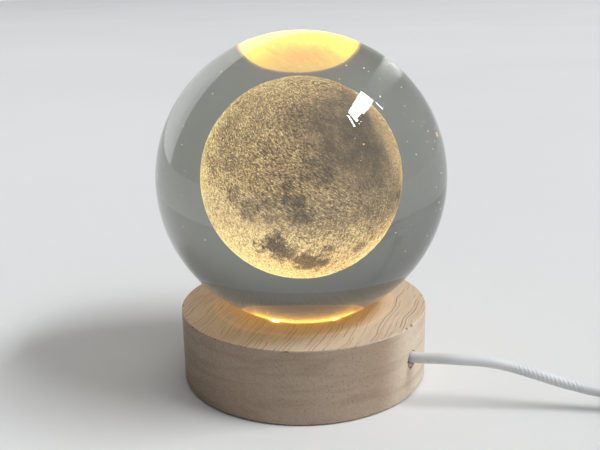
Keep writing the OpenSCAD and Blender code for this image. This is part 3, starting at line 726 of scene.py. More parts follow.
def make_bevel_glow():
    """Bevel around the flat, with a painted glow: a bright line where the light of each lamp escapes, with a
    painted spark.
    """
    material, tree, shader = new_material(
        "bevel_of_flat", Transmission_Weight=1.0, IOR=GLASS_IOR, Roughness=0.3,
        Emission_Strength=BEVEL_GLOW,
    )
    x, y, _ = axes_of(tree, object_place(tree))
    from_spark = add_math(tree, "SUBTRACT", add_math(tree, "ARCTAN2", y, x), SPARK_BEARING)
    lamps = add_math(tree, "COSINE", times(tree, from_spark, LAMPS))
    one_side = add_range(tree, add_math(tree, "COSINE", from_spark), 0.3, 1.0, 0.0, 1.0)
    spark = times(tree, add_range(tree, lamps, 0.86, 1.0, 0.0, 1.0, smooth=True), one_side)
    wander = add_range(tree, add_noise(tree, object_place(tree), 260.0, 2.0), 0.4, 0.65, 0.25, 1.0)
    level = add_math(tree, "ADD", wander, times(tree, spark, SPARK_LEVEL))
    outside = add_mix(tree, 1.0, BEVEL_OUTSIDE, level, "MULTIPLY")
    inside = add_node(tree, "ShaderNodeNewGeometry").outputs["Backfacing"]
    tree.links.new(add_mix(tree, inside, outside, BEVEL_INSIDE), shader.inputs["Emission Color"])
    return material


glass_ball.data.materials.append(make_bevel_glow())
print("Glass materials:", [material.name for material in glass_ball.data.materials])

# %% [markdown]
# ## The engraved moon
# The laser leaves a shell of tiny cracks in the glass, each of which scatters light. The ground under them is
# modelled as a finely divided sphere with dished basins and craters. Where many cracks crowd together the
# moon shines, and where there are few it looks grey. That light is painted, so one number for each point, its
# glow, says how much of the light from below reaches it and how dense the engraving is there. A second
# number, smooth, says where the shots stand so evenly that the ground looks plain, and a third is the lean of
# the cracks.

# %% Basins, craters and dark plains of the moon
# Bearing and height of each basin in degrees, and its share of the largest radius
BASINS = [(-70, 28, 1.0), (-118, 34, 0.72), (-40, 6, 0.66), (-92, -8, 0.5), (100, -20, 0.6), (170, 30, 0.5)]
BASIN_R = 6 * MM
BASIN_FLOOR = 45 * MM
CRATERS = 36
CRATER_R = 2.2 * MM
CRATER_FLOOR = 2
CRATER_START = 20
GOLDEN_TURN = 137.508
# Bearing and height of each dark plain, its radius in degrees, and how dark it is
DARK_PLAINS = [
    (-79, -37, 11, 1.0), (-73, -29, 7, 0.85), (-70, -40, 9, 0.9), (-80, -47, 8, 0.7), (-52, -51, 12, 0.95),
    (-40, -53, 9, 0.9), (-57, -4, 9, 0.7), (-58, -11, 8, 0.6), (-102, -2, 8, 0.5), (-91, -9, 9, 0.55),
    (-80, -2, 8, 0.45), (-78, -14, 6, 0.4), (-66, 9, 5, 0.35), (-50, 16, 9, 0.3), (-39, 12, 8, 0.3),
    (-35, -38, 4, 0.6), (-5, -41, 5, 0.6), (-138, 14, 4, 0.5), (-128, 12, 4, 0.4), (62, -24, 11, 0.8),
    (78, 14, 13, 0.6), (96, 4, 8, 0.45), (118, -32, 12, 0.85), (134, -22, 7, 0.6), (148, 18, 14, 0.6),
    (163, 6, 8, 0.5), (-178, -16, 11, 0.75), (92, 46, 12, 0.4), (128, 52, 8, 0.3), (-168, 36, 9, 0.4),
]


def dishes():
    """Centre, radius and floor radius of every basin and crater, as directions and lengths."""
    for bearing, height, share in BASINS:
        yield on_bearing(math.radians(bearing), math.radians(height)), BASIN_R * share, BASIN_FLOOR
    for i in range(CRATERS):
        size = CRATER_R * (0.4 + 0.6 * abs(math.sin(math.radians(97 * i + 20))) ** 3)
        height = math.asin(1 - (2 * i + 1) / CRATERS)
        bearing = math.radians(CRATER_START + GOLDEN_TURN * i)
        yield on_bearing(bearing, height), size, CRATER_FLOOR * size


def fade(x):
    """Rises softly from 0 to 1 as x does."""
    x = np.clip(x, 0, 1)
    return x * x * (3 - 2 * x)


def noise_at(directions, scale, seed):
    """Noise around 0 in each direction."""
    offset = Vector((seed, 2 * seed, 3 * seed))
    return np.array([noise.fractal(Vector(d) * scale + offset, 0.8, 2.0, 4) for d in directions])


MOON_DIVISIONS = 7


def make_moon_ground():
    """The dished ground of the moon, and the direction of each of its points."""
    build = bmesh.new()
    bmesh.ops.create_icosphere(build, subdivisions=MOON_DIVISIONS, radius=moon_r)
    n = np.array([tuple(v.co) for v in build.verts]) / moon_r
    radius = np.full(len(n), moon_r)
    for centre, r, floor in dishes():
        cosine = n @ np.array(centre)
        away = math.sqrt(moon_r**2 - r * r) + math.sqrt(floor**2 - r * r)
        root = floor**2 - away**2 * (1 - cosine**2)
        inside = (cosine > 0) & (root > 0)
        dished = away * cosine - np.sqrt(np.maximum(root, 0))
        radius = np.where(inside, np.minimum(radius, dished), radius)
    for vert, direction, r in zip(build.verts, n, radius):
        vert.co = Vector(direction) * r + ball_centre
    mesh = bpy.data.meshes.new("moon_ground")
    build.to_mesh(mesh)
    build.free()
    mesh.polygons.foreach_set("use_smooth", [True] * len(mesh.polygons))
    return mesh, n


# %% How the moon shines and leans
def towards(n, bearing, height):
    """The cosine of the angle between each direction and one bearing and height in degrees."""
    return n @ np.array(on_bearing(math.radians(bearing), math.radians(height)))


def spot_at(n, bearing, height, edge, softness):
    """A soft round spot about one direction, which begins where that cosine passes the edge."""
    return fade((towards(n, bearing, height) - edge) / softness)


def plains_at(n):
    """How much of a dark plain there is in each direction, with ragged shores."""
    ragged = 0.6 * noise_at(n, 6.0, 3.1) + 0.5 * noise_at(n, 16.0, 8.2)
    dark = np.zeros(len(n))
    for bearing, height, width, depth in DARK_PLAINS:
        apart = np.degrees(np.arccos(np.clip(towards(n, bearing, height), -1, 1)))
        dark = np.maximum(dark, depth * fade(1.3 * (1.25 - apart / width + 0.8 * ragged)))
    return dark


def glow_at(n):
    """How brightly the engraving shines in each direction, from 0 to 1, as painted light."""
    upper_left = spot_at(n, -130, 45, 0.3, 0.6)
    dim = spot_at(n, -13, 44, 0.62, 0.36)
    right = spot_at(n, 15, 5, 0.55, 0.4)
    behind = spot_at(n, 124, 5, 0.1, 0.6)
    mottle = noise_at(n, 2.6, 7.7)
    clouds = noise_at(n, 7.0, 4.4)
    level = 0.5 + 0.07 * upper_left - 0.19 * dim - 0.07 * right + 0.1 * behind + 0.06 * mottle + 0.08 * clouds
    # Painted light: brighter low down and on the lower left towards the lamps below, with painted bright rims
    # on the left and the right
    painted_light_low_left = spot_at(n, -120, -38, 0.5, 0.4)
    painted_left_rim = spot_at(n, -160, 15, 0.8, 0.15)
    painted_right_rim = spot_at(n, 48, 22, 0.79, 0.15)
    low = fade((-0.18 - n[:, 2]) / 0.5)
    top = fade((n[:, 2] - 0.84) / 0.12)
    level += 0.33 * painted_light_low_left + 0.3 * low + 0.18 * painted_left_rim + 0.26 * painted_right_rim + 0.1 * top
    return np.clip(level * (1 - (0.72 + 0.08 * low) * plains_at(n)), 0.03, 1)


def smooth_at(n):
    """How evenly the shots stand in each direction: most on the upper right, where the ground is plain."""
    return 0.75 * spot_at(n, 0, 36, 0.62, 0.36)


def lean_at(n):
    """Lean of the grains from upright in radians, to the left above and to the right below."""
    drift = noise_at(n, 2.0, 5.2)
    middle = fade((0.75 - n[:, 2]) / 0.5)
    low = fade((-0.34 - n[:, 2]) / 0.4)
    return 0.42 + 0.6 * middle - 1.2 * low + 0.4 * drift


def turn_of_aligned(n):
    """How far off upright the Z axis ends where the X axis has been swung onto each direction."""
    x, z = np.array([1.0, 0, 0]), np.array([0, 0, 1.0])
    axis = np.cross(x, n)
    swung = z + np.cross(axis, z) + np.cross(axis, np.cross(axis, z)) / np.maximum(1 + n[:, :1], 1e-6)
    upright = z - n * n[:, 2:]
    return np.arctan2((n * np.cross(upright, swung)).sum(1), (upright * swung).sum(1))


def set_attribute(mesh, name, values):
    """Stores a number for each point of a mesh."""
    layer = mesh.attributes.new(name, "FLOAT", "POINT")
    layer.data.foreach_set("value", np.asarray(values, dtype=np.float32))


moon_mesh, moon_directions = make_moon_ground()
moon_glow = glow_at(moon_directions)
moon_smooth = smooth_at(moon_directions)
set_attribute(moon_mesh, "glow", moon_glow)
set_attribute(moon_mesh, "lean", lean_at(moon_directions) - turn_of_aligned(moon_directions))
set_attribute(moon_mesh, "smooth", moon_smooth)
print(f"Moon ground: {len(moon_mesh.polygons)} faces, glow {moon_glow.min():.2f} to {moon_glow.max():.2f}")

# %% [markdown]
# ## Grains of the engraving
# Each laser shot leaves a crack a fraction of a millimetre long. Tens of thousands of them stand on the
# ground of the moon. Geometry Nodes places them, as their number and size are then inputs that can be tuned:
# points are spread over the ground, each gets a thin four-sided sliver that lies along the ground in a steady
# direction with some scatter, and it takes on the glow of the ground where it stands. A sliver has four
# faces, so the whole engraving stays light. Darker places get fewer grains.

# %% Geometry Nodes helpers
def new_tree(name, sockets):
    """A Geometry Nodes tree that takes and gives a mesh, with these named inputs."""
    tree = bpy.data.node_groups.new(name, "GeometryNodeTree")
    tree.interface.new_socket("Geometry", in_out="INPUT", socket_type="NodeSocketGeometry")
    tree.interface.new_socket("Geometry", in_out="OUTPUT", socket_type="NodeSocketGeometry")
    ids = {}
    for label, kind, value in sockets:
        socket = tree.interface.new_socket(label, in_out="INPUT", socket_type=kind)
        ids[label] = (socket.identifier, value)
    return tree, tree.nodes.new("NodeGroupInput").outputs, tree.nodes.new("NodeGroupOutput").inputs, ids


def run_tree(source, tree, ids, name):
    """The plain mesh that a tree makes of a source mesh."""
    carrier = bpy.data.objects.new(name + "_source", source)
    bpy.context.scene.collection.objects.link(carrier)
    modifier = carrier.modifiers.new("nodes", "NODES")
    modifier.node_group = tree
    for identifier, value in ids.values():
        modifier[identifier] = value
    evaluated = carrier.evaluated_get(bpy.context.evaluated_depsgraph_get())
    mesh = bpy.data.meshes.new_from_object(evaluated)
    mesh.name = name
    bpy.data.objects.remove(carrier)
    return mesh


def stored(tree, name):
    """The number that the mesh holds under this name."""
    return add_node(tree, "GeometryNodeInputNamedAttribute", {"Name": name}, data_type="FLOAT").outputs[0]


def random_number(tree, low, high, seed):
    """A random number for each point."""
    inputs = {2: low, 3: high, "Seed": seed}
    return add_node(tree, "FunctionNodeRandomValue", inputs, data_type="FLOAT").outputs[1]


def end_tree(tree, instances, material, result):
    """Ends a tree in one plain mesh with its material."""
    plain = add_node(tree, "GeometryNodeRealizeInstances", {0: instances}).outputs[0]
    finished = add_node(tree, "GeometryNodeSetMaterial", {"Geometry": plain, "Material": material})
    tree.links.new(finished.outputs[0], result["Geometry"])


# %% [markdown]
# ## Material of the engraving
# Cracks in glass have no colour of their own and only pass on the light of the lamps, so that light is
# painted
# as emission: a ramp turns the glow of a place into a colour, from a grey brown through amber to a pale
# yellow.
# Fine streaks that lean as the cracks do make the ground uneven, less so where it is smooth. A little of
# the room's light is scattered back where the engraving is dense, and a sheen stands for the cracks that
# catch it at a low angle.

# %% Streaks of the engraving
# Bearing of the lamp's front in degrees, which the streaks and the patch before the ball are set by
FRONT_BEARING = -56
STREAK_DRAW = 0.32


def add_streaks(tree, place, lean, scale):
    """Fine noise drawn out along the ground, leaning to the left of upright by this many degrees."""
    aside = math.radians(lean)
    left = on_bearing(math.radians(FRONT_BEARING - 90), 0)
    up = Vector((0, 0, 1))
    axes = (
        (up * math.cos(aside) + left * math.sin(aside)) * STREAK_DRAW,
        left * math.cos(aside) - up * math.sin(aside),
        on_bearing(math.radians(FRONT_BEARING), 0),
    )
    parts = {i: along_axis(tree, place, axis) for i, axis in enumerate(axes)}
    leaning = add_node(tree, "ShaderNodeCombineXYZ", parts).outputs[0]
    return add_noise(tree, leaning, scale, 2.0, 0.6)


# %% Moon material
MOON_EMISSION = 1.88
MOON_DARKEST = (0.03, 0.028, 0.025, 1)
MOON_BRIGHTEST = (1.0, 0.9, 0.44, 1)
# Colours in between, each with its level of glow
MOON_COLOURS = [
    (0.2, (0.135, 0.108, 0.08)),
    (0.42, (0.36, 0.262, 0.155)),
    (0.64, (0.64, 0.445, 0.24)),
    (0.85, (0.93, 0.68, 0.33)),
]


def make_moon_material():
    """Cracked glass with the warm light of the lamps painted on as emission, by the glow of each place."""
    material, tree, shader = new_material(
        "engraving", Roughness=0.9, IOR=1.3, Sheen_Weight=0.75, Sheen_Roughness=0.25,
        Sheen_Tint=(1.0, 0.84, 0.6, 1), Emission_Strength=MOON_EMISSION,
    )
    glow = add_node(tree, "ShaderNodeAttribute", attribute_name="glow").outputs["Fac"]
    smooth = add_node(tree, "ShaderNodeAttribute", attribute_name="smooth").outputs["Fac"]
    place = object_place(tree)
    grit = add_noise(tree, place, 3800.0, 1.0)
    below = add_range(tree, axes_of(tree, place)[2], ball_centre.z - 0.002, ball_centre.z - 0.009)
    above_streaks = add_streaks(tree, place, 48, 2600.0)
    below_streaks = add_streaks(tree, place, -18, 2400.0)
    streaks = add_mix(tree, below, above_streaks, below_streaks)
    streaky = add_range(tree, streaks, 0.37, 0.63, 0.55, 1.45)
    uneven = add_mix(tree, smooth, streaky, (0.92, 0.92, 0.92, 1))
    speckled = times(tree, glow, add_range(tree, grit, 0.3, 0.7, 0.82, 1.18))
    speckled = times(tree, speckled, uneven)
    ramp = add_node(tree, "ShaderNodeValToRGB", {"Fac": speckled})
    stops = ramp.color_ramp.elements
    stops[0].position, stops[0].color = 0.0, MOON_DARKEST
    stops[1].position, stops[1].color = 1.0, MOON_BRIGHTEST
    for position, colour in MOON_COLOURS:
        stops.new(position).color = (*colour, 1)
    tree.links.new(ramp.outputs["Color"], shader.inputs["Emission Color"])
    scattered = add_mix(tree, speckled, (0.0, 0.0, 0.0, 1), (0.085, 0.077, 0.067, 1))
    tree.links.new(scattered, shader.inputs["Base Color"])
    add_bump(tree, shader, grit, 0.00012)
    return material


moon_material = make_moon_material()
print("Moon material:", moon_material.name)

# %% Spread the grains
GRAIN_SCATTER = 0.42
GRAIN_RISE = 0.3


def make_grains_tree():
    """Slivers on the ground of the moon, which keep the glow of the ground under them."""
    tree, given, result, ids = new_tree(
        "laser_grains",
        [
            ("Grains per square metre", NUMBER, 1.2e7), ("Grain length", NUMBER, 0.00056),
            ("Grain width", NUMBER, 0.00012), ("Seed", "NodeSocketInt", 7),
            ("Material", "NodeSocketMaterial", moon_material),
        ],
    )
    glow = stored(tree, "glow")
    crowding = add_range(tree, glow, 0.0, 0.8, 0.45, 1.0)
    density = times(tree, given["Grains per square metre"], crowding)
    spread = add_node(
        tree, "GeometryNodeDistributePointsOnFaces",
        {"Mesh": given["Geometry"], "Density": density, "Seed": given["Seed"]},
    )
    brightest = add_range(tree, stored(tree, "smooth"), 0.0, 1.0, 1.55, 1.1)
    bright = random_number(tree, 0.75, brightest, given["Seed"])
    lit = add_node(
        tree, "GeometryNodeStoreNamedAttribute",
        {"Geometry": spread.outputs["Points"], "Name": "glow", "Value": times(tree, glow, bright)},
        data_type="FLOAT", domain="POINT",
    )

    sliver = add_node(tree, "GeometryNodeMeshCone", {"Vertices": 3, "Radius Bottom": 0.5, "Depth": 1.0})
    outward = {"Vector": spread.outputs["Normal"]}
    aligned = add_node(tree, "FunctionNodeAlignRotationToVector", outward, axis="X").outputs[0]
    scatter = random_number(tree, -GRAIN_SCATTER, GRAIN_SCATTER, given["Seed"])
    rise = random_number(tree, -GRAIN_RISE, GRAIN_RISE, given["Seed"])
    lean = add_math(tree, "ADD", stored(tree, "lean"), scatter)
    tilt = add_node(tree, "ShaderNodeCombineXYZ", {0: lean, 1: rise}).outputs[0]
    turned = add_node(
        tree, "FunctionNodeRotateRotation", {0: aligned, 1: tilt}, rotation_space="LOCAL"
    ).outputs[0]
    stretch = random_number(tree, 0.45, 1.0, given["Seed"])
    long = times(tree, given["Grain length"], stretch)
    wide = times(tree, given["Grain width"], add_range(tree, stretch, 0.45, 1.0, 0.8, 1.2))
    size = add_node(tree, "ShaderNodeCombineXYZ", {0: wide, 1: wide, 2: long}).outputs[0]
    placed = add_node(
        tree, "GeometryNodeInstanceOnPoints",
        {"Points": lit.outputs[0], "Instance": sliver.outputs["Mesh"], "Rotation": turned, "Scale": size},
    )
    end_tree(tree, placed.outputs[0], given["Material"], result)
    return tree, ids


grains_tree, grains_ids = make_grains_tree()
grains_mesh = run_tree(moon_mesh.copy(), grains_tree, grains_ids, "moon_grains")
grains_count = len(grains_mesh.polygons) // 4
print("Moon grains:", grains_count, "of them;", [a.name for a in grains_mesh.attributes])

# %% Dim the ground under the grains
GROUND_SHARE = 0.64
GROUND_SMOOTH = 0.22
ground_glow = moon_glow * (GROUND_SHARE + GROUND_SMOOTH * moon_smooth)
moon_mesh.attributes["glow"].data.foreach_set("value", np.asarray(ground_glow, dtype=np.float32))
moon_mesh.materials.append(moon_material)
add_piece("moon_ground", moon_mesh, "ball", replaces=("moon_engraving",))
add_piece("moon_grains", grains_mesh, "ball")
print("Ground glow up to", round(float(ground_glow.max()), 3))

# %% [markdown]
# ## Specks in the glass
# Close up a crystal ball isn't empty. Stray shots of the laser and tiny bubbles sit just under its skin and
# catch the warm light, which is painted on them as a faint glow. They are scattered as the grains are, over a
# copy of the ball's own skin, and each is sunk into the glass, because one that stands proud would read as
# dirt. A ball of twenty faces is plenty for a speck half a millimetre across at most. An attribute puts most
# of them on the side by the cord, and none at the flat.

# %% Speck material
SPECK_GLOW = 1.5


def make_speck_material():
    """Warm speck with a faint painted glow, for the light from below that it catches."""
    material, tree, shader = new_material(
        "glass_speck", Roughness=0.5, IOR=1.3, Emission_Strength=SPECK_GLOW
    )
    tone = add_noise(tree, object_place(tree), 300.0, 1.0)
    colour = add_mix(tree, add_range(tree, tone, 0.35, 0.65), (0.62, 0.42, 0.22, 1), (0.8, 0.72, 0.6, 1))
    tree.links.new(colour, shader.inputs["Base Color"])
    tree.links.new(colour, shader.inputs["Emission Color"])
    add_bump(tree, shader, tone, 0.00001)
    return material


# %% Scatter the specks
SPECK_FACES = 20


def make_specks_tree():
    """Small balls just under a skin, more of them where its share is higher."""
    tree, given, result, ids = new_tree(
        "glass_specks",
        [
            ("Specks per square metre", NUMBER, 42000.0), ("Speck radius", NUMBER, 0.00026),
            ("Depth", NUMBER, 0.0004), ("Seed", "NodeSocketInt", 31),
            ("Material", "NodeSocketMaterial", make_speck_material()),
        ],
    )
    density = times(tree, given["Specks per square metre"], stored(tree, "share"))
    spread = add_node(
        tree, "GeometryNodeDistributePointsOnFaces",
        {"Mesh": given["Geometry"], "Density": density, "Seed": given["Seed"]},
    )
    inward = add_node(
        tree, "ShaderNodeVectorMath",
        {0: spread.outputs["Normal"], "Scale": times(tree, given["Depth"], -1.0)},
        operation="SCALE",
    ).outputs[0]
    sunk = add_node(tree, "GeometryNodeSetPosition", {"Geometry": spread.outputs["Points"], "Offset": inward})
    speck = add_node(tree, "GeometryNodeMeshIcoSphere", {"Radius": given["Speck radius"], "Subdivisions": 1})
    size = add_math(tree, "POWER", random_number(tree, 0.5, 1.0, given["Seed"]), 2.0)
    placed = add_node(
        tree, "GeometryNodeInstanceOnPoints",
        {"Points": sunk.outputs[0], "Instance": speck.outputs["Mesh"], "Scale": size},
    )
    end_tree(tree, placed.outputs[0], given["Material"], result)
    return tree, ids


def speck_share(n):
    """How thickly the specks lie in each direction: most on the right, none around the flat."""
    right = spot_at(n, 12, 22, 0.5, 0.45)
    top = spot_at(n, -20, 62, 0.8, 0.18)
    middle = spot_at(n, -56, 12, 0.62, 0.2)
    low = fade((-0.1 - n[:, 2]) / 0.4)
    above_flat = n[:, 2] > -0.75
    return (0.3 + 0.6 * right + 0.3 * top) * (1 - 0.9 * low) * (1 - 0.75 * middle) * above_flat


skin = glass_ball.data.copy()
skin_directions = np.array([tuple((v.co - ball_centre).normalized()) for v in skin.vertices])
set_attribute(skin, "share", speck_share(skin_directions))
specks_tree, specks_ids = make_specks_tree()
specks_mesh = run_tree(skin, specks_tree, specks_ids, "glass_specks")
add_piece("glass_specks", specks_mesh, "ball")
print("Specks in the glass:", len(specks_mesh.polygons) // SPECK_FACES)

# %% [markdown]
# ## Beech
# The base is turned from one board of beech. Its fibres lie nearly along the view, so the top shows their
# fine dark lines, and the front of the rim meets them end on and shows pores and the bands of the year rings.
# The places are turned so that X runs along the fibres. A contour line of a noise gives lines that close into
# loops and swell, and a picture would blur close up. So the width is divided into narrow lanes that noise
# makes wavy, each with one hairline at a place of its own, and a noise along each lane breaks its line into
# dashes. How much a face looks along the fibres, from its normal, blends the lines into pores.

# %% Hairlines in the wood
# Dashes to the metre along a hairline, and the step in the noise from one lane to the next
DASHES = 75.0
LANE_STEP = 17.3


def add_hairlines(tree, along, across, lane, half_width, share):
    """One thin broken line in every lane across the fibres, with a strength of its own."""
    lanes = add_math(tree, "DIVIDE", across, lane)
    number = add_math(tree, "FLOOR", lanes)
    part = add_math(tree, "SUBTRACT", lanes, number)
    chance = add_node(tree, "ShaderNodeTexWhiteNoise", {"W": number}, noise_dimensions="1D").outputs["Color"]
    first, second, third = add_node(tree, "ShaderNodeSeparateColor", {0: chance}).outputs
    off = add_math(tree, "SUBTRACT", part, add_range(tree, first, 0, 1, 0.22, 0.78))
    off = times(tree, add_math(tree, "ABSOLUTE", off), lane)
    line = add_range(tree, off, half_width, half_width * 0.4, 0.0, 1.0)
    spot = add_node(
        tree, "ShaderNodeCombineXYZ", {0: times(tree, along, DASHES), 1: times(tree, number, LANE_STEP)}
    ).outputs[0]
    run = add_math(tree, "ADD", add_noise(tree, spot, 1.0, 2.0), add_range(tree, second, 0, 1, -0.06, 0.06))
    whole = add_range(tree, run, 0.5 - share, 0.56 - share)
    return times(tree, times(tree, line, whole), add_range(tree, third, 0, 1, 0.5, 1.0))


# %% Pores in the wood
def add_pores(tree, place, scale, low, high, share):
    """Small round dots, in this share of the cells of a Voronoi pattern."""
    cells = add_node(tree, "ShaderNodeTexVoronoi", {"Vector": place, "Scale": scale, "Randomness": 1.0})
    dot = add_range(tree, cells.outputs["Distance"], low, high, 1.0, 0.0)
    chosen = add_node(tree, "ShaderNodeSeparateColor", {0: cells.outputs["Color"]}).outputs[0]
    return times(tree, dot, add_math(tree, "LESS_THAN", chosen, share))


# %% [markdown]
# ## Light of the lamps on the wood
# Light leaks from the flat onto the wood around the ball's foot. Like the glow of the flat, it is painted
# light in the material and not cast by a lamp, so its size and fall can be set directly. In front of the ball
# the polished foot mirrors a painted warm patch of lamp light on the wood. It is shown only to glossy rays,
# from
# Light Path, so it is a painted reflection in the ball and not on the wood itself; an exported model lacks
# it.

# %% Lamp light around the foot of the ball
LIT_R = 0.0262
FOOT_LIGHT = (0.6, 0.3, 0.06, 1)


def add_foot_light(tree, place, wood):
    """Painted amber light around the foot of the ball, and how strong it is at each place."""
    uneven = add_noise(tree, place, 140.0, 2.0)
    wander = add_range(tree, uneven, 0.3, 0.7, -0.0005, 0.0005)
    out = add_math(tree, "ADD", distance_from_axis(tree, place), wander)
    falling = add_range(tree, out, flat_r, LIT_R + 0.001, 0.5, 0.0, smooth=True)
    before = add_range(tree, out, LIT_R - 0.0022, LIT_R - 0.001, 0.0, 0.2, smooth=True)
    after = add_range(tree, out, LIT_R + 0.0004, LIT_R - 0.0004, smooth=True)
    seen = add_math(tree, "ADD", falling, times(tree, before, after))
    warm = add_mix(tree, 1.0, wood, FOOT_LIGHT, "MULTIPLY")
    return add_mix(tree, 1.0, warm, seen, "MULTIPLY"), falling


# %% Patch that only reflections show
PATCH_LIGHT = (0.78, 0.335, 0.075, 1)
# Centre and half sizes, with X towards the front
PATCH_AT = (0.013, -0.0003, 0)
PATCH_SIZE = (0.0152, 0.0178, 1)


def add_front_patch(tree, place):
    """Painted warm oval of lamp light before the ball that only glossy rays meet, and its mask."""
    facing = turned_level(tree, place, math.radians(-FRONT_BEARING))
    shifted = add_node(tree, "ShaderNodeVectorMath", {0: facing, 1: PATCH_AT}, operation="SUBTRACT")
    scaled = add_node(
        tree, "ShaderNodeVectorMath", {0: shifted.outputs[0], 1: PATCH_SIZE}, operation="DIVIDE"
    )
    reach = distance_from_axis(tree, scaled.outputs[0])
    mirrored = add_node(tree, "ShaderNodeLightPath").outputs["Is Glossy Ray"]
    patch = times(tree, add_range(tree, reach, 1.015, 0.985), mirrored)
    rim = add_range(tree, reach, 0.9, 0.99, 1.0, 1.5, smooth=True)
    return add_mix(tree, 1.0, PATCH_LIGHT, times(tree, patch, rim), "MULTIPLY"), patch


def add_lamp_light(tree, place, wood):
    """The painted lamp light on the top of the wood: its colour, and how much it tints the wood."""
    on_top = add_range(tree, axes_of(tree, place)[2], base_high.z - 0.001, base_high.z - 0.0001)
    foot_light, falling = add_foot_light(tree, place, wood)
    patch_light, patch = add_front_patch(tree, place)
    light = add_mix(tree, 1.0, foot_light, patch_light, "ADD")
    tint = add_math(tree, "MAXIMUM", falling, times(tree, patch, 0.8))
    return add_mix(tree, 1.0, light, on_top, "MULTIPLY"), times(tree, tint, on_top)


# %% Beech material
FIBRE_BEARING = math.radians(105)
BEECH_PALE = (0.66, 0.55, 0.43, 1)
BEECH_TAN = (0.57, 0.455, 0.335, 1)
BEECH_BROWN = (0.42, 0.315, 0.225, 1)
BEECH_DARK = (0.19, 0.09, 0.04, 1)
BEECH_REDDISH = (0.27, 0.115, 0.045, 1)
BEECH_LIT = (0.42, 0.24, 0.1, 1)
END_GRAIN_SHADE = (0.6, 0.55, 0.52, 1)
BRIGHT_PORE = (0.85, 0.75, 0.62, 1)


def make_beech():
    """Beech with its hairlines on top, its pores on the end grain, and the lamps' light on it."""
    material, tree, shader = new_material("beech", IOR=1.45, Emission_Strength=1.0)
    place = object_place(tree)
    x, _, z = axes_of(tree, place)
    turned = turned_level(tree, place, -FIBRE_BEARING)
    along, across, _ = axes_of(tree, turned)
    sway = add_range(tree, add_noise(tree, turned, 80.0, 1.0), 0.0, 1.0, -0.002, 0.002)
    kinks = add_range(tree, add_noise(tree, turned, 600.0, 2.0), 0.0, 1.0, -0.00018, 0.00018)
    across = add_math(tree, "ADD", add_math(tree, "ADD", across, sway), kinks)
    bent = add_node(tree, "ShaderNodeCombineXYZ", {0: along, 1: across, 2: z}).outputs[0]

    normal = add_node(tree, "ShaderNodeNewGeometry").outputs["Normal"]
    facing = along_axis(tree, normal, on_bearing(FIBRE_BEARING, 0))
    end_grain = add_range(tree, add_math(tree, "ABSOLUTE", facing), 0.3, 0.65, smooth=True)
    upward = axes_of(tree, normal)[2]
    flat_sawn = add_range(tree, add_math(tree, "ABSOLUTE", upward), 0.4, 0.9)

    fibres = add_noise(tree, drawn_out(tree, bent, (0.05, 1.0, 1.0)), 1900.0, 2.0, 0.6)
    year = add_noise(tree, drawn_out(tree, turned, (0.06, 0.25, 1.6)), 200.0, 3.0, 0.55, 0.5)
    broad = add_noise(tree, turned, 30.0, 2.0)
    bold = add_hairlines(tree, along, across, 0.0013, 0.00017, 0.06)
    faint = add_hairlines(tree, along, across, 0.0007, 0.0001, -0.02)
    lines = add_math(tree, "MAXIMUM", bold, times(tree, faint, 0.35))
    lines = times(tree, lines, flat_sawn)
    dark_side = times(tree, end_grain, add_range(tree, x, -0.012, 0.016, 0.25, 1.0))
    light_side = times(tree, end_grain, add_range(tree, x, -0.01, 0.02, 1.0, 0.3))
    pores = times(tree, add_pores(tree, turned, 1350.0, 0.1, 0.29, 0.5), dark_side)
    bright_pores = times(tree, add_pores(tree, turned, 2200.0, 0.12, 0.42, 0.85), light_side)
    rim = add_range(tree, distance_from_axis(tree, place), base_r - 0.0007, base_r - 0.0003)
    edge = times(tree, rim, add_range(tree, z, base_high.z - 0.0005, base_high.z - 0.0002))
    nicks = times(tree, edge, add_range(tree, add_noise(tree, place, 420.0, 1.0), 0.62, 0.67))

    wood = add_mix(tree, add_range(tree, broad, 0.35, 0.65), BEECH_PALE, BEECH_TAN)
    wood = add_mix(tree, add_range(tree, fibres, 0.4, 0.7, 0.0, 0.3), wood, BEECH_BROWN)
    bands = times(tree, add_range(tree, year, 0.48, 0.64), add_range(tree, flat_sawn, 0, 1, 0.45, 0.1))
    wood = add_mix(tree, bands, wood, BEECH_BROWN)
    wood = add_mix(tree, end_grain, wood, add_mix(tree, 1.0, wood, END_GRAIN_SHADE, "MULTIPLY"))
    light, lit_zone = add_lamp_light(tree, place, wood)
    # Painted lamp light: the lit zone around the foot also turns the wood's own colour towards amber
    for share, strength, colour in (
        (lit_zone, 1.2, BEECH_LIT), (lines, 0.7, BEECH_REDDISH), (bright_pores, 0.3, BRIGHT_PORE),
        (pores, 0.78, BEECH_DARK), (nicks, 0.75, BEECH_DARK),
    ):
        wood = add_mix(tree, times(tree, share, strength), wood, colour)
    tree.links.new(wood, shader.inputs["Base Color"])
    tree.links.new(light, shader.inputs["Emission Color"])
    tree.links.new(add_range(tree, fibres, 0.3, 0.7, 0.52, 0.68), shader.inputs["Roughness"])
    dents = add_math(tree, "SUBTRACT", fibres, times(tree, lines, 1.5))
    dents = add_math(tree, "SUBTRACT", dents, times(tree, pores, 1.5))
    add_bump(tree, shader, dents, 0.00005)
    return material


finish_with(make_beech(), "wooden_base")
print("Beech:", len(bpy.data.materials["beech"].node_tree.nodes), "nodes")

# %% [markdown]
# ## Finishes of the other parts
# The small parts are solids of the frame as they are, and only get a finish. Most are moulded plastic or
# worked metal, so a table gives each of them its values for one of the two shared groups.

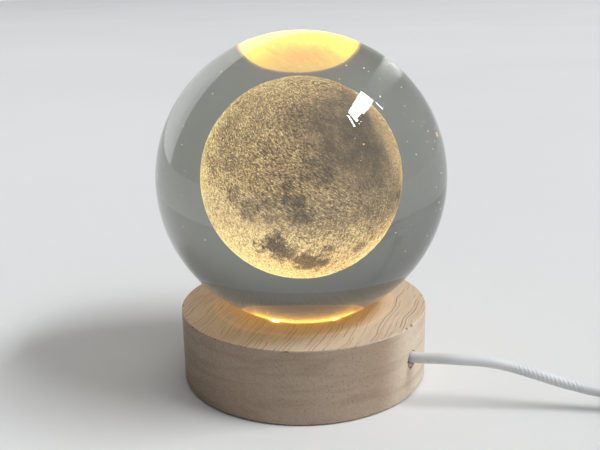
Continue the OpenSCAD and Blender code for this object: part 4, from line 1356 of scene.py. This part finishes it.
# %% Plastics
# Name, colour, roughness, grain, tone and bump of each plastic, and then the solids that are made of it
PLASTICS = [
    ("board_lacquer", (0.75, 0.75, 0.72), 0.35, 3000.0, 0.08, 0.00002, "led_board"),
    ("package_white", (0.8, 0.78, 0.7), 0.5, 4000.0, 0.06, 0.00002, "led_packages"),
    ("chip_black", (0.02, 0.02, 0.022), 0.45, 5000.0, 0.2, 0.00002, "board_resistors"),
    ("wire_red", (0.5, 0.02, 0.015), 0.35, 2500.0, 0.06, 0.00002, "wire_positive"),
    ("wire_black", (0.015, 0.015, 0.016), 0.35, 2500.0, 0.06, 0.00002, "wire_negative"),
    ("cover_plastic", (0.05, 0.05, 0.052), 0.5, 1500.0, 0.2, 0.00004, "bottom_cover"),
    ("tie_nylon", (0.6, 0.6, 0.57), 0.45, 2500.0, 0.06, 0.00002, "strain_tie"),
    (
        "switch_white", (0.74, 0.745, 0.74), 0.28, 1700.0, 0.05, 0.00002,
        "switch_lower_shell", "switch_upper_shell",
    ),
    ("twist_tie", (0.72, 0.73, 0.73), 0.5, 1500.0, 0.06, 0.00002, "coil_tie"),
    ("plug_white", (0.74, 0.745, 0.74), 0.38, 1400.0, 0.06, 0.00003, "plug_grip"),
    ("plug_insert", (0.76, 0.76, 0.75), 0.3, 2000.0, 0.06, 0.00002, "plug_tongue"),
]
for name, colour, roughness, grain, tone, bump, *nodes in PLASTICS:
    finish_with(plastic(name, colour, roughness, grain, tone, bump), *nodes)
print("Plastics:", len(PLASTICS))

# %% [markdown]
# ## Marks on the rocker
# The rocker has a bar for on at one end and a ring for off at the other, printed in grey on its top. They
# are drawn by distance: the places on the rocker are moved to its middle and turned with it, and a place is
# in the bar or in the ring where its distance from them is small.

# %% Marked rocker
MARK_AT = 3.8 * MM
MARK_BAR = (0.22 * MM, 1 * MM)
MARK_RING = (0.85 * MM, 0.2 * MM)
MARK_PAINT = (0.12, 0.125, 0.13, 1)

rocker_low, rocker_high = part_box("switch_rocker")
pivot_top = (rocker_low.z + rocker_high.z) / 2 - SWITCH_AT.z


def near_to(tree, value, width):
    """Whether a value is less than this width from 0."""
    return add_math(tree, "LESS_THAN", add_math(tree, "ABSOLUTE", value), width)


def make_marked_plastic():
    """White plastic with the bar for on at one end of the rocker, and the ring for off at the other."""
    material = plastic("rocker_white", (0.78, 0.78, 0.77), 0.22, 1700.0, 0.05)
    tree = material.node_tree
    shader = tree.nodes["Principled BSDF"]
    bare = shader.inputs["Base Color"].links[0].from_socket
    middle = from_switch(SWITCH_LENGTH / 2)
    moved = add_node(tree, "ShaderNodeVectorMath", {0: object_place(tree), 1: middle}, operation="SUBTRACT")
    along, across, height = axes_of(tree, turned_level(tree, moved.outputs[0], -SWITCH_TURN))
    off_bar = add_math(tree, "SUBTRACT", along, MARK_AT)
    bar = times(tree, near_to(tree, off_bar, MARK_BAR[0]), near_to(tree, across, MARK_BAR[1]))
    from_ring = add_node(
        tree, "ShaderNodeCombineXYZ", {0: add_math(tree, "ADD", along, MARK_AT), 1: across}
    ).outputs[0]
    off_ring = add_math(tree, "SUBTRACT", distance_from_axis(tree, from_ring), MARK_RING[0])
    ring = near_to(tree, off_ring, MARK_RING[1])
    on_top = add_math(tree, "GREATER_THAN", height, pivot_top)
    marks = times(tree, add_math(tree, "MAXIMUM", bar, ring), on_top)
    tree.links.new(add_mix(tree, marks, bare, MARK_PAINT), shader.inputs["Base Color"])
    return material


finish_with(make_marked_plastic(), "switch_rocker")
print("Marks above", round(pivot_top + SWITCH_AT.z, 4))

# %% Metals
# Name, colour, roughness, marks and bump of each metal, and then the solids that are made of it
METALS = [
    ("solder", (0.62, 0.62, 0.6), 0.3, 2000.0, 0.00002, "solder_joints"),
    (
        "screw_steel", (0.55, 0.54, 0.52), 0.3, 4000.0, 0.00001,
        "board_screws", "cover_screws", "switch_screws",
    ),
    ("brass_strip", (0.8, 0.56, 0.25), 0.28, 3000.0, 0.00001, "switch_bridge", "switch_contacts"),
    ("plug_steel", (0.62, 0.62, 0.61), 0.16, 2500.0, 0.00001, "plug_shell"),
    ("contact_gold", (0.95, 0.68, 0.28), 0.2, 3000.0, 0.00001, "plug_contacts"),
]
for name, colour, roughness, marks, bump, *nodes in METALS:
    finish_with(metal(name, colour, roughness, marks, bump), *nodes)
print("Metals:", len(METALS))

# %% [markdown]
# ## Foam and lenses
# The pad under the base is cut from a sheet of closed-cell foam, and a Voronoi pattern gives it the cut
# cells as small pits. The lights of the board have silicone lenses, which glow by themselves. They are
# seen when the ball is lifted off.

# %% Foam pad
def make_foam():
    """Closed-cell foam with its cells cut open at the surface."""
    material, tree, shader = new_material("pad_foam", IOR=1.4)
    place = object_place(tree)
    cells = add_node(tree, "ShaderNodeTexVoronoi", {"Vector": place, "Scale": 2600.0}).outputs["Distance"]
    broad = add_range(tree, add_noise(tree, place, 60.0, 3.0), 0.3, 0.7)
    tone = add_range(tree, cells, 0.0, 0.6, 0.5, 1.0)
    shaded = add_mix(tree, broad, (0.02, 0.02, 0.021, 1), (0.035, 0.034, 0.033, 1))
    tree.links.new(add_mix(tree, 1.0, shaded, tone, "MULTIPLY"), shader.inputs["Base Color"])
    tree.links.new(add_range(tree, cells, 0.0, 0.6, 0.95, 0.75), shader.inputs["Roughness"])
    add_bump(tree, shader, cells, 0.0001)
    return material


finish_with(make_foam(), "non_slip_pad")

# %% LED lenses
LENS_GLOW = 60.0


def make_lens_glow():
    """Yellow silicone lens over a warm white LED, a little uneven in its glow."""
    material, tree, shader = new_material(
        "led_lens", IOR=1.41, Roughness=0.3, Emission_Strength=LENS_GLOW
    )
    phosphor = add_noise(tree, object_place(tree), 900.0, 2.0)
    share = add_range(tree, phosphor, 0.3, 0.7)
    colour = add_mix(tree, share, (1.0, 0.6, 0.2, 1), (1.0, 0.72, 0.3, 1))
    tree.links.new(colour, shader.inputs["Emission Color"])
    tree.links.new(colour, shader.inputs["Base Color"])
    add_bump(tree, shader, phosphor, 0.00002)
    return material


finish_with(make_lens_glow(), "led_lenses")
print("Materials:", len(bpy.data.materials))

# %% [markdown]
# ## Floor
# The lamp stands on a plain pale floor. Its paint has a slight change of tone over about half a metre and a
# fine roughness, so that the shadow of the cord falls on a surface and not on a flat colour.

# %% Floor
FLOOR_HALF = 4.0


def make_floor_paint():
    """Pale matt paint."""
    material, tree, shader = new_material("floor_paint", IOR=1.4)
    place = object_place(tree)
    broad = add_range(tree, add_noise(tree, place, 2.5, 3.0), 0.35, 0.65)
    fine = add_noise(tree, place, 400.0, 2.0)
    paint = add_mix(tree, broad, (0.7, 0.7, 0.695, 1), (0.73, 0.73, 0.725, 1))
    tree.links.new(paint, shader.inputs["Base Color"])
    tree.links.new(add_range(tree, fine, 0.3, 0.7, 0.6, 0.75), shader.inputs["Roughness"])
    add_bump(tree, shader, fine, 0.00003)
    return material


def make_floor():
    """One large square, which is staging and not part of the lamp."""
    corners = [(-1, -1), (1, -1), (1, 1), (-1, 1)]
    mesh = new_mesh("floor", [(FLOOR_HALF * x, FLOOR_HALF * y, 0) for x, y in corners], [(0, 1, 2, 3)])
    mesh.materials.append(make_floor_paint())
    floor = bpy.data.objects.new("floor", mesh)
    bpy.context.scene.collection.objects.link(floor)
    return floor


make_floor()
print("Floor of", 2 * FLOOR_HALF, "m")

# %% [markdown]
# ## Window
# The light comes from the right and above through a large window, which also makes the bright shape on the
# ball. It is six area lights on one plane, so that its reflection is made of clean panes. The plane faces the
# lamp, and each pane is placed on it by how far across and up it is, as if the window stood at a distance of
# 1. Every pane has the same brightness, so its power follows from its area.

# %% Window
WINDOW_DISTANCE = 9.0
WINDOW_LEVEL = 34.0
WINDOW_COLOUR = (0.95, 0.98, 1.0)
# Bearing and height of the window's middle, in degrees
WINDOW_AT = (23.4, 50)
# Each pane's place across and up, its width and height, and its turn in degrees
WINDOW_PANES = [
    (0.066, 0.017, 0.292, 0.157, -2.5), (-0.128, 0.02, 0.1, 0.128, 0), (-0.203, 0.003, 0.05, 0.149, 15),
    (-0.277, -0.011, 0.03, 0.162, 23), (-0.21, -0.098, 0.07, 0.006, 0), (0.224, -0.126, 0.024, 0.098, -7),
]


def make_pane(name, across, up, width, height, turn):
    """An area light on the plane of the window, turned about the line to the lamp."""
    light = bpy.data.lights.new(name, "AREA")
    light.shape = "RECTANGLE"
    light.size = WINDOW_DISTANCE * width
    light.size_y = WINDOW_DISTANCE * height
    light.energy = WINDOW_LEVEL * math.pi * light.size * light.size_y
    light.color = WINDOW_COLOUR
    away = on_bearing(*(math.radians(angle) for angle in WINDOW_AT))
    level = Vector((0, 0, 1)).cross(away).normalized()
    above = away.cross(level)
    lean = math.radians(turn)
    side = math.cos(lean) * level - math.sin(lean) * above
    axes = Matrix((side, away.cross(side), away)).transposed().to_4x4()
    pane = bpy.data.objects.new(name, light)
    pane.matrix_world = Matrix.Translation(WINDOW_DISTANCE * (away + across * level + up * above)) @ axes
    bpy.context.scene.collection.objects.link(pane)
    return light.energy


watts = [make_pane(f"pane_{i}", *pane) for i, pane in enumerate(WINDOW_PANES)]
print("Window of", len(watts), "panes,", round(sum(watts)), "W in all")

# %% [markdown]
# ## Room
# The rest of the light is a soft studio, painted on the world by direction: a bright ceiling, a bright side
# on the right, a haze behind and darker walls on the left, so that the clear rim of the ball reads as glass
# against the floor. A pale card stands at the left for reflections alone, and lights nothing. The camera
# itself sees a plain pale colour.

# %% Room
ROOM_COLOUR = (0.97, 0.985, 1.0, 1)
BACKDROP = (0.7, 0.71, 0.715, 1)
CARD_AT = (152, 6)


def make_room():
    """The world's light by direction, and the card that only reflections show."""
    world = bpy.data.worlds.new("room")
    bpy.context.scene.world = world
    world.use_nodes = True
    tree = world.node_tree
    back = tree.nodes["Background"]
    direction = add_node(tree, "ShaderNodeTexCoord").outputs["Generated"]
    height = axes_of(tree, direction)[2]

    def towards_light(bearing, height):
        return along_axis(tree, direction, on_bearing(math.radians(bearing), math.radians(height)))

    ceiling = add_range(tree, height, 0.45, 1.0, 0.0, 0.4, smooth=True)
    side = add_range(tree, towards_light(8, 12), 0.2, 1.0, 0.0, 0.8, smooth=True)
    behind = add_range(tree, towards_light(118, 8), 0.1, 0.8, 0.0, 1.0, smooth=True)
    haze = times(tree, behind, add_range(tree, height, 0.5, 0.0, 0.27, 0.6, smooth=True))
    level = add_math(tree, "ADD", add_math(tree, "ADD", ceiling, side), add_math(tree, "ADD", haze, 0.04))

    rays = add_node(tree, "ShaderNodeLightPath").outputs
    mirrored = times(tree, rays["Is Reflection Ray"], rays["Is Glossy Ray"])
    card_edge = [math.cos(math.radians(angle)) for angle in (33, 31)]
    card = add_range(tree, towards_light(*CARD_AT), *card_edge)
    fall = add_range(tree, towards_light(126, -14), 0.97, 0.62, 0.12, 1.35)
    level = add_math(tree, "ADD", level, times(tree, times(tree, card, fall), mirrored))
    room = add_mix(tree, 1.0, ROOM_COLOUR, level, "MULTIPLY")
    tree.links.new(add_mix(tree, rays["Is Camera Ray"], room, BACKDROP), back.inputs["Color"])
    back.inputs["Strength"].default_value = 1.0


make_room()
bpy.context.scene.view_settings.view_transform = "Standard"
print("World:", bpy.context.scene.world.name)
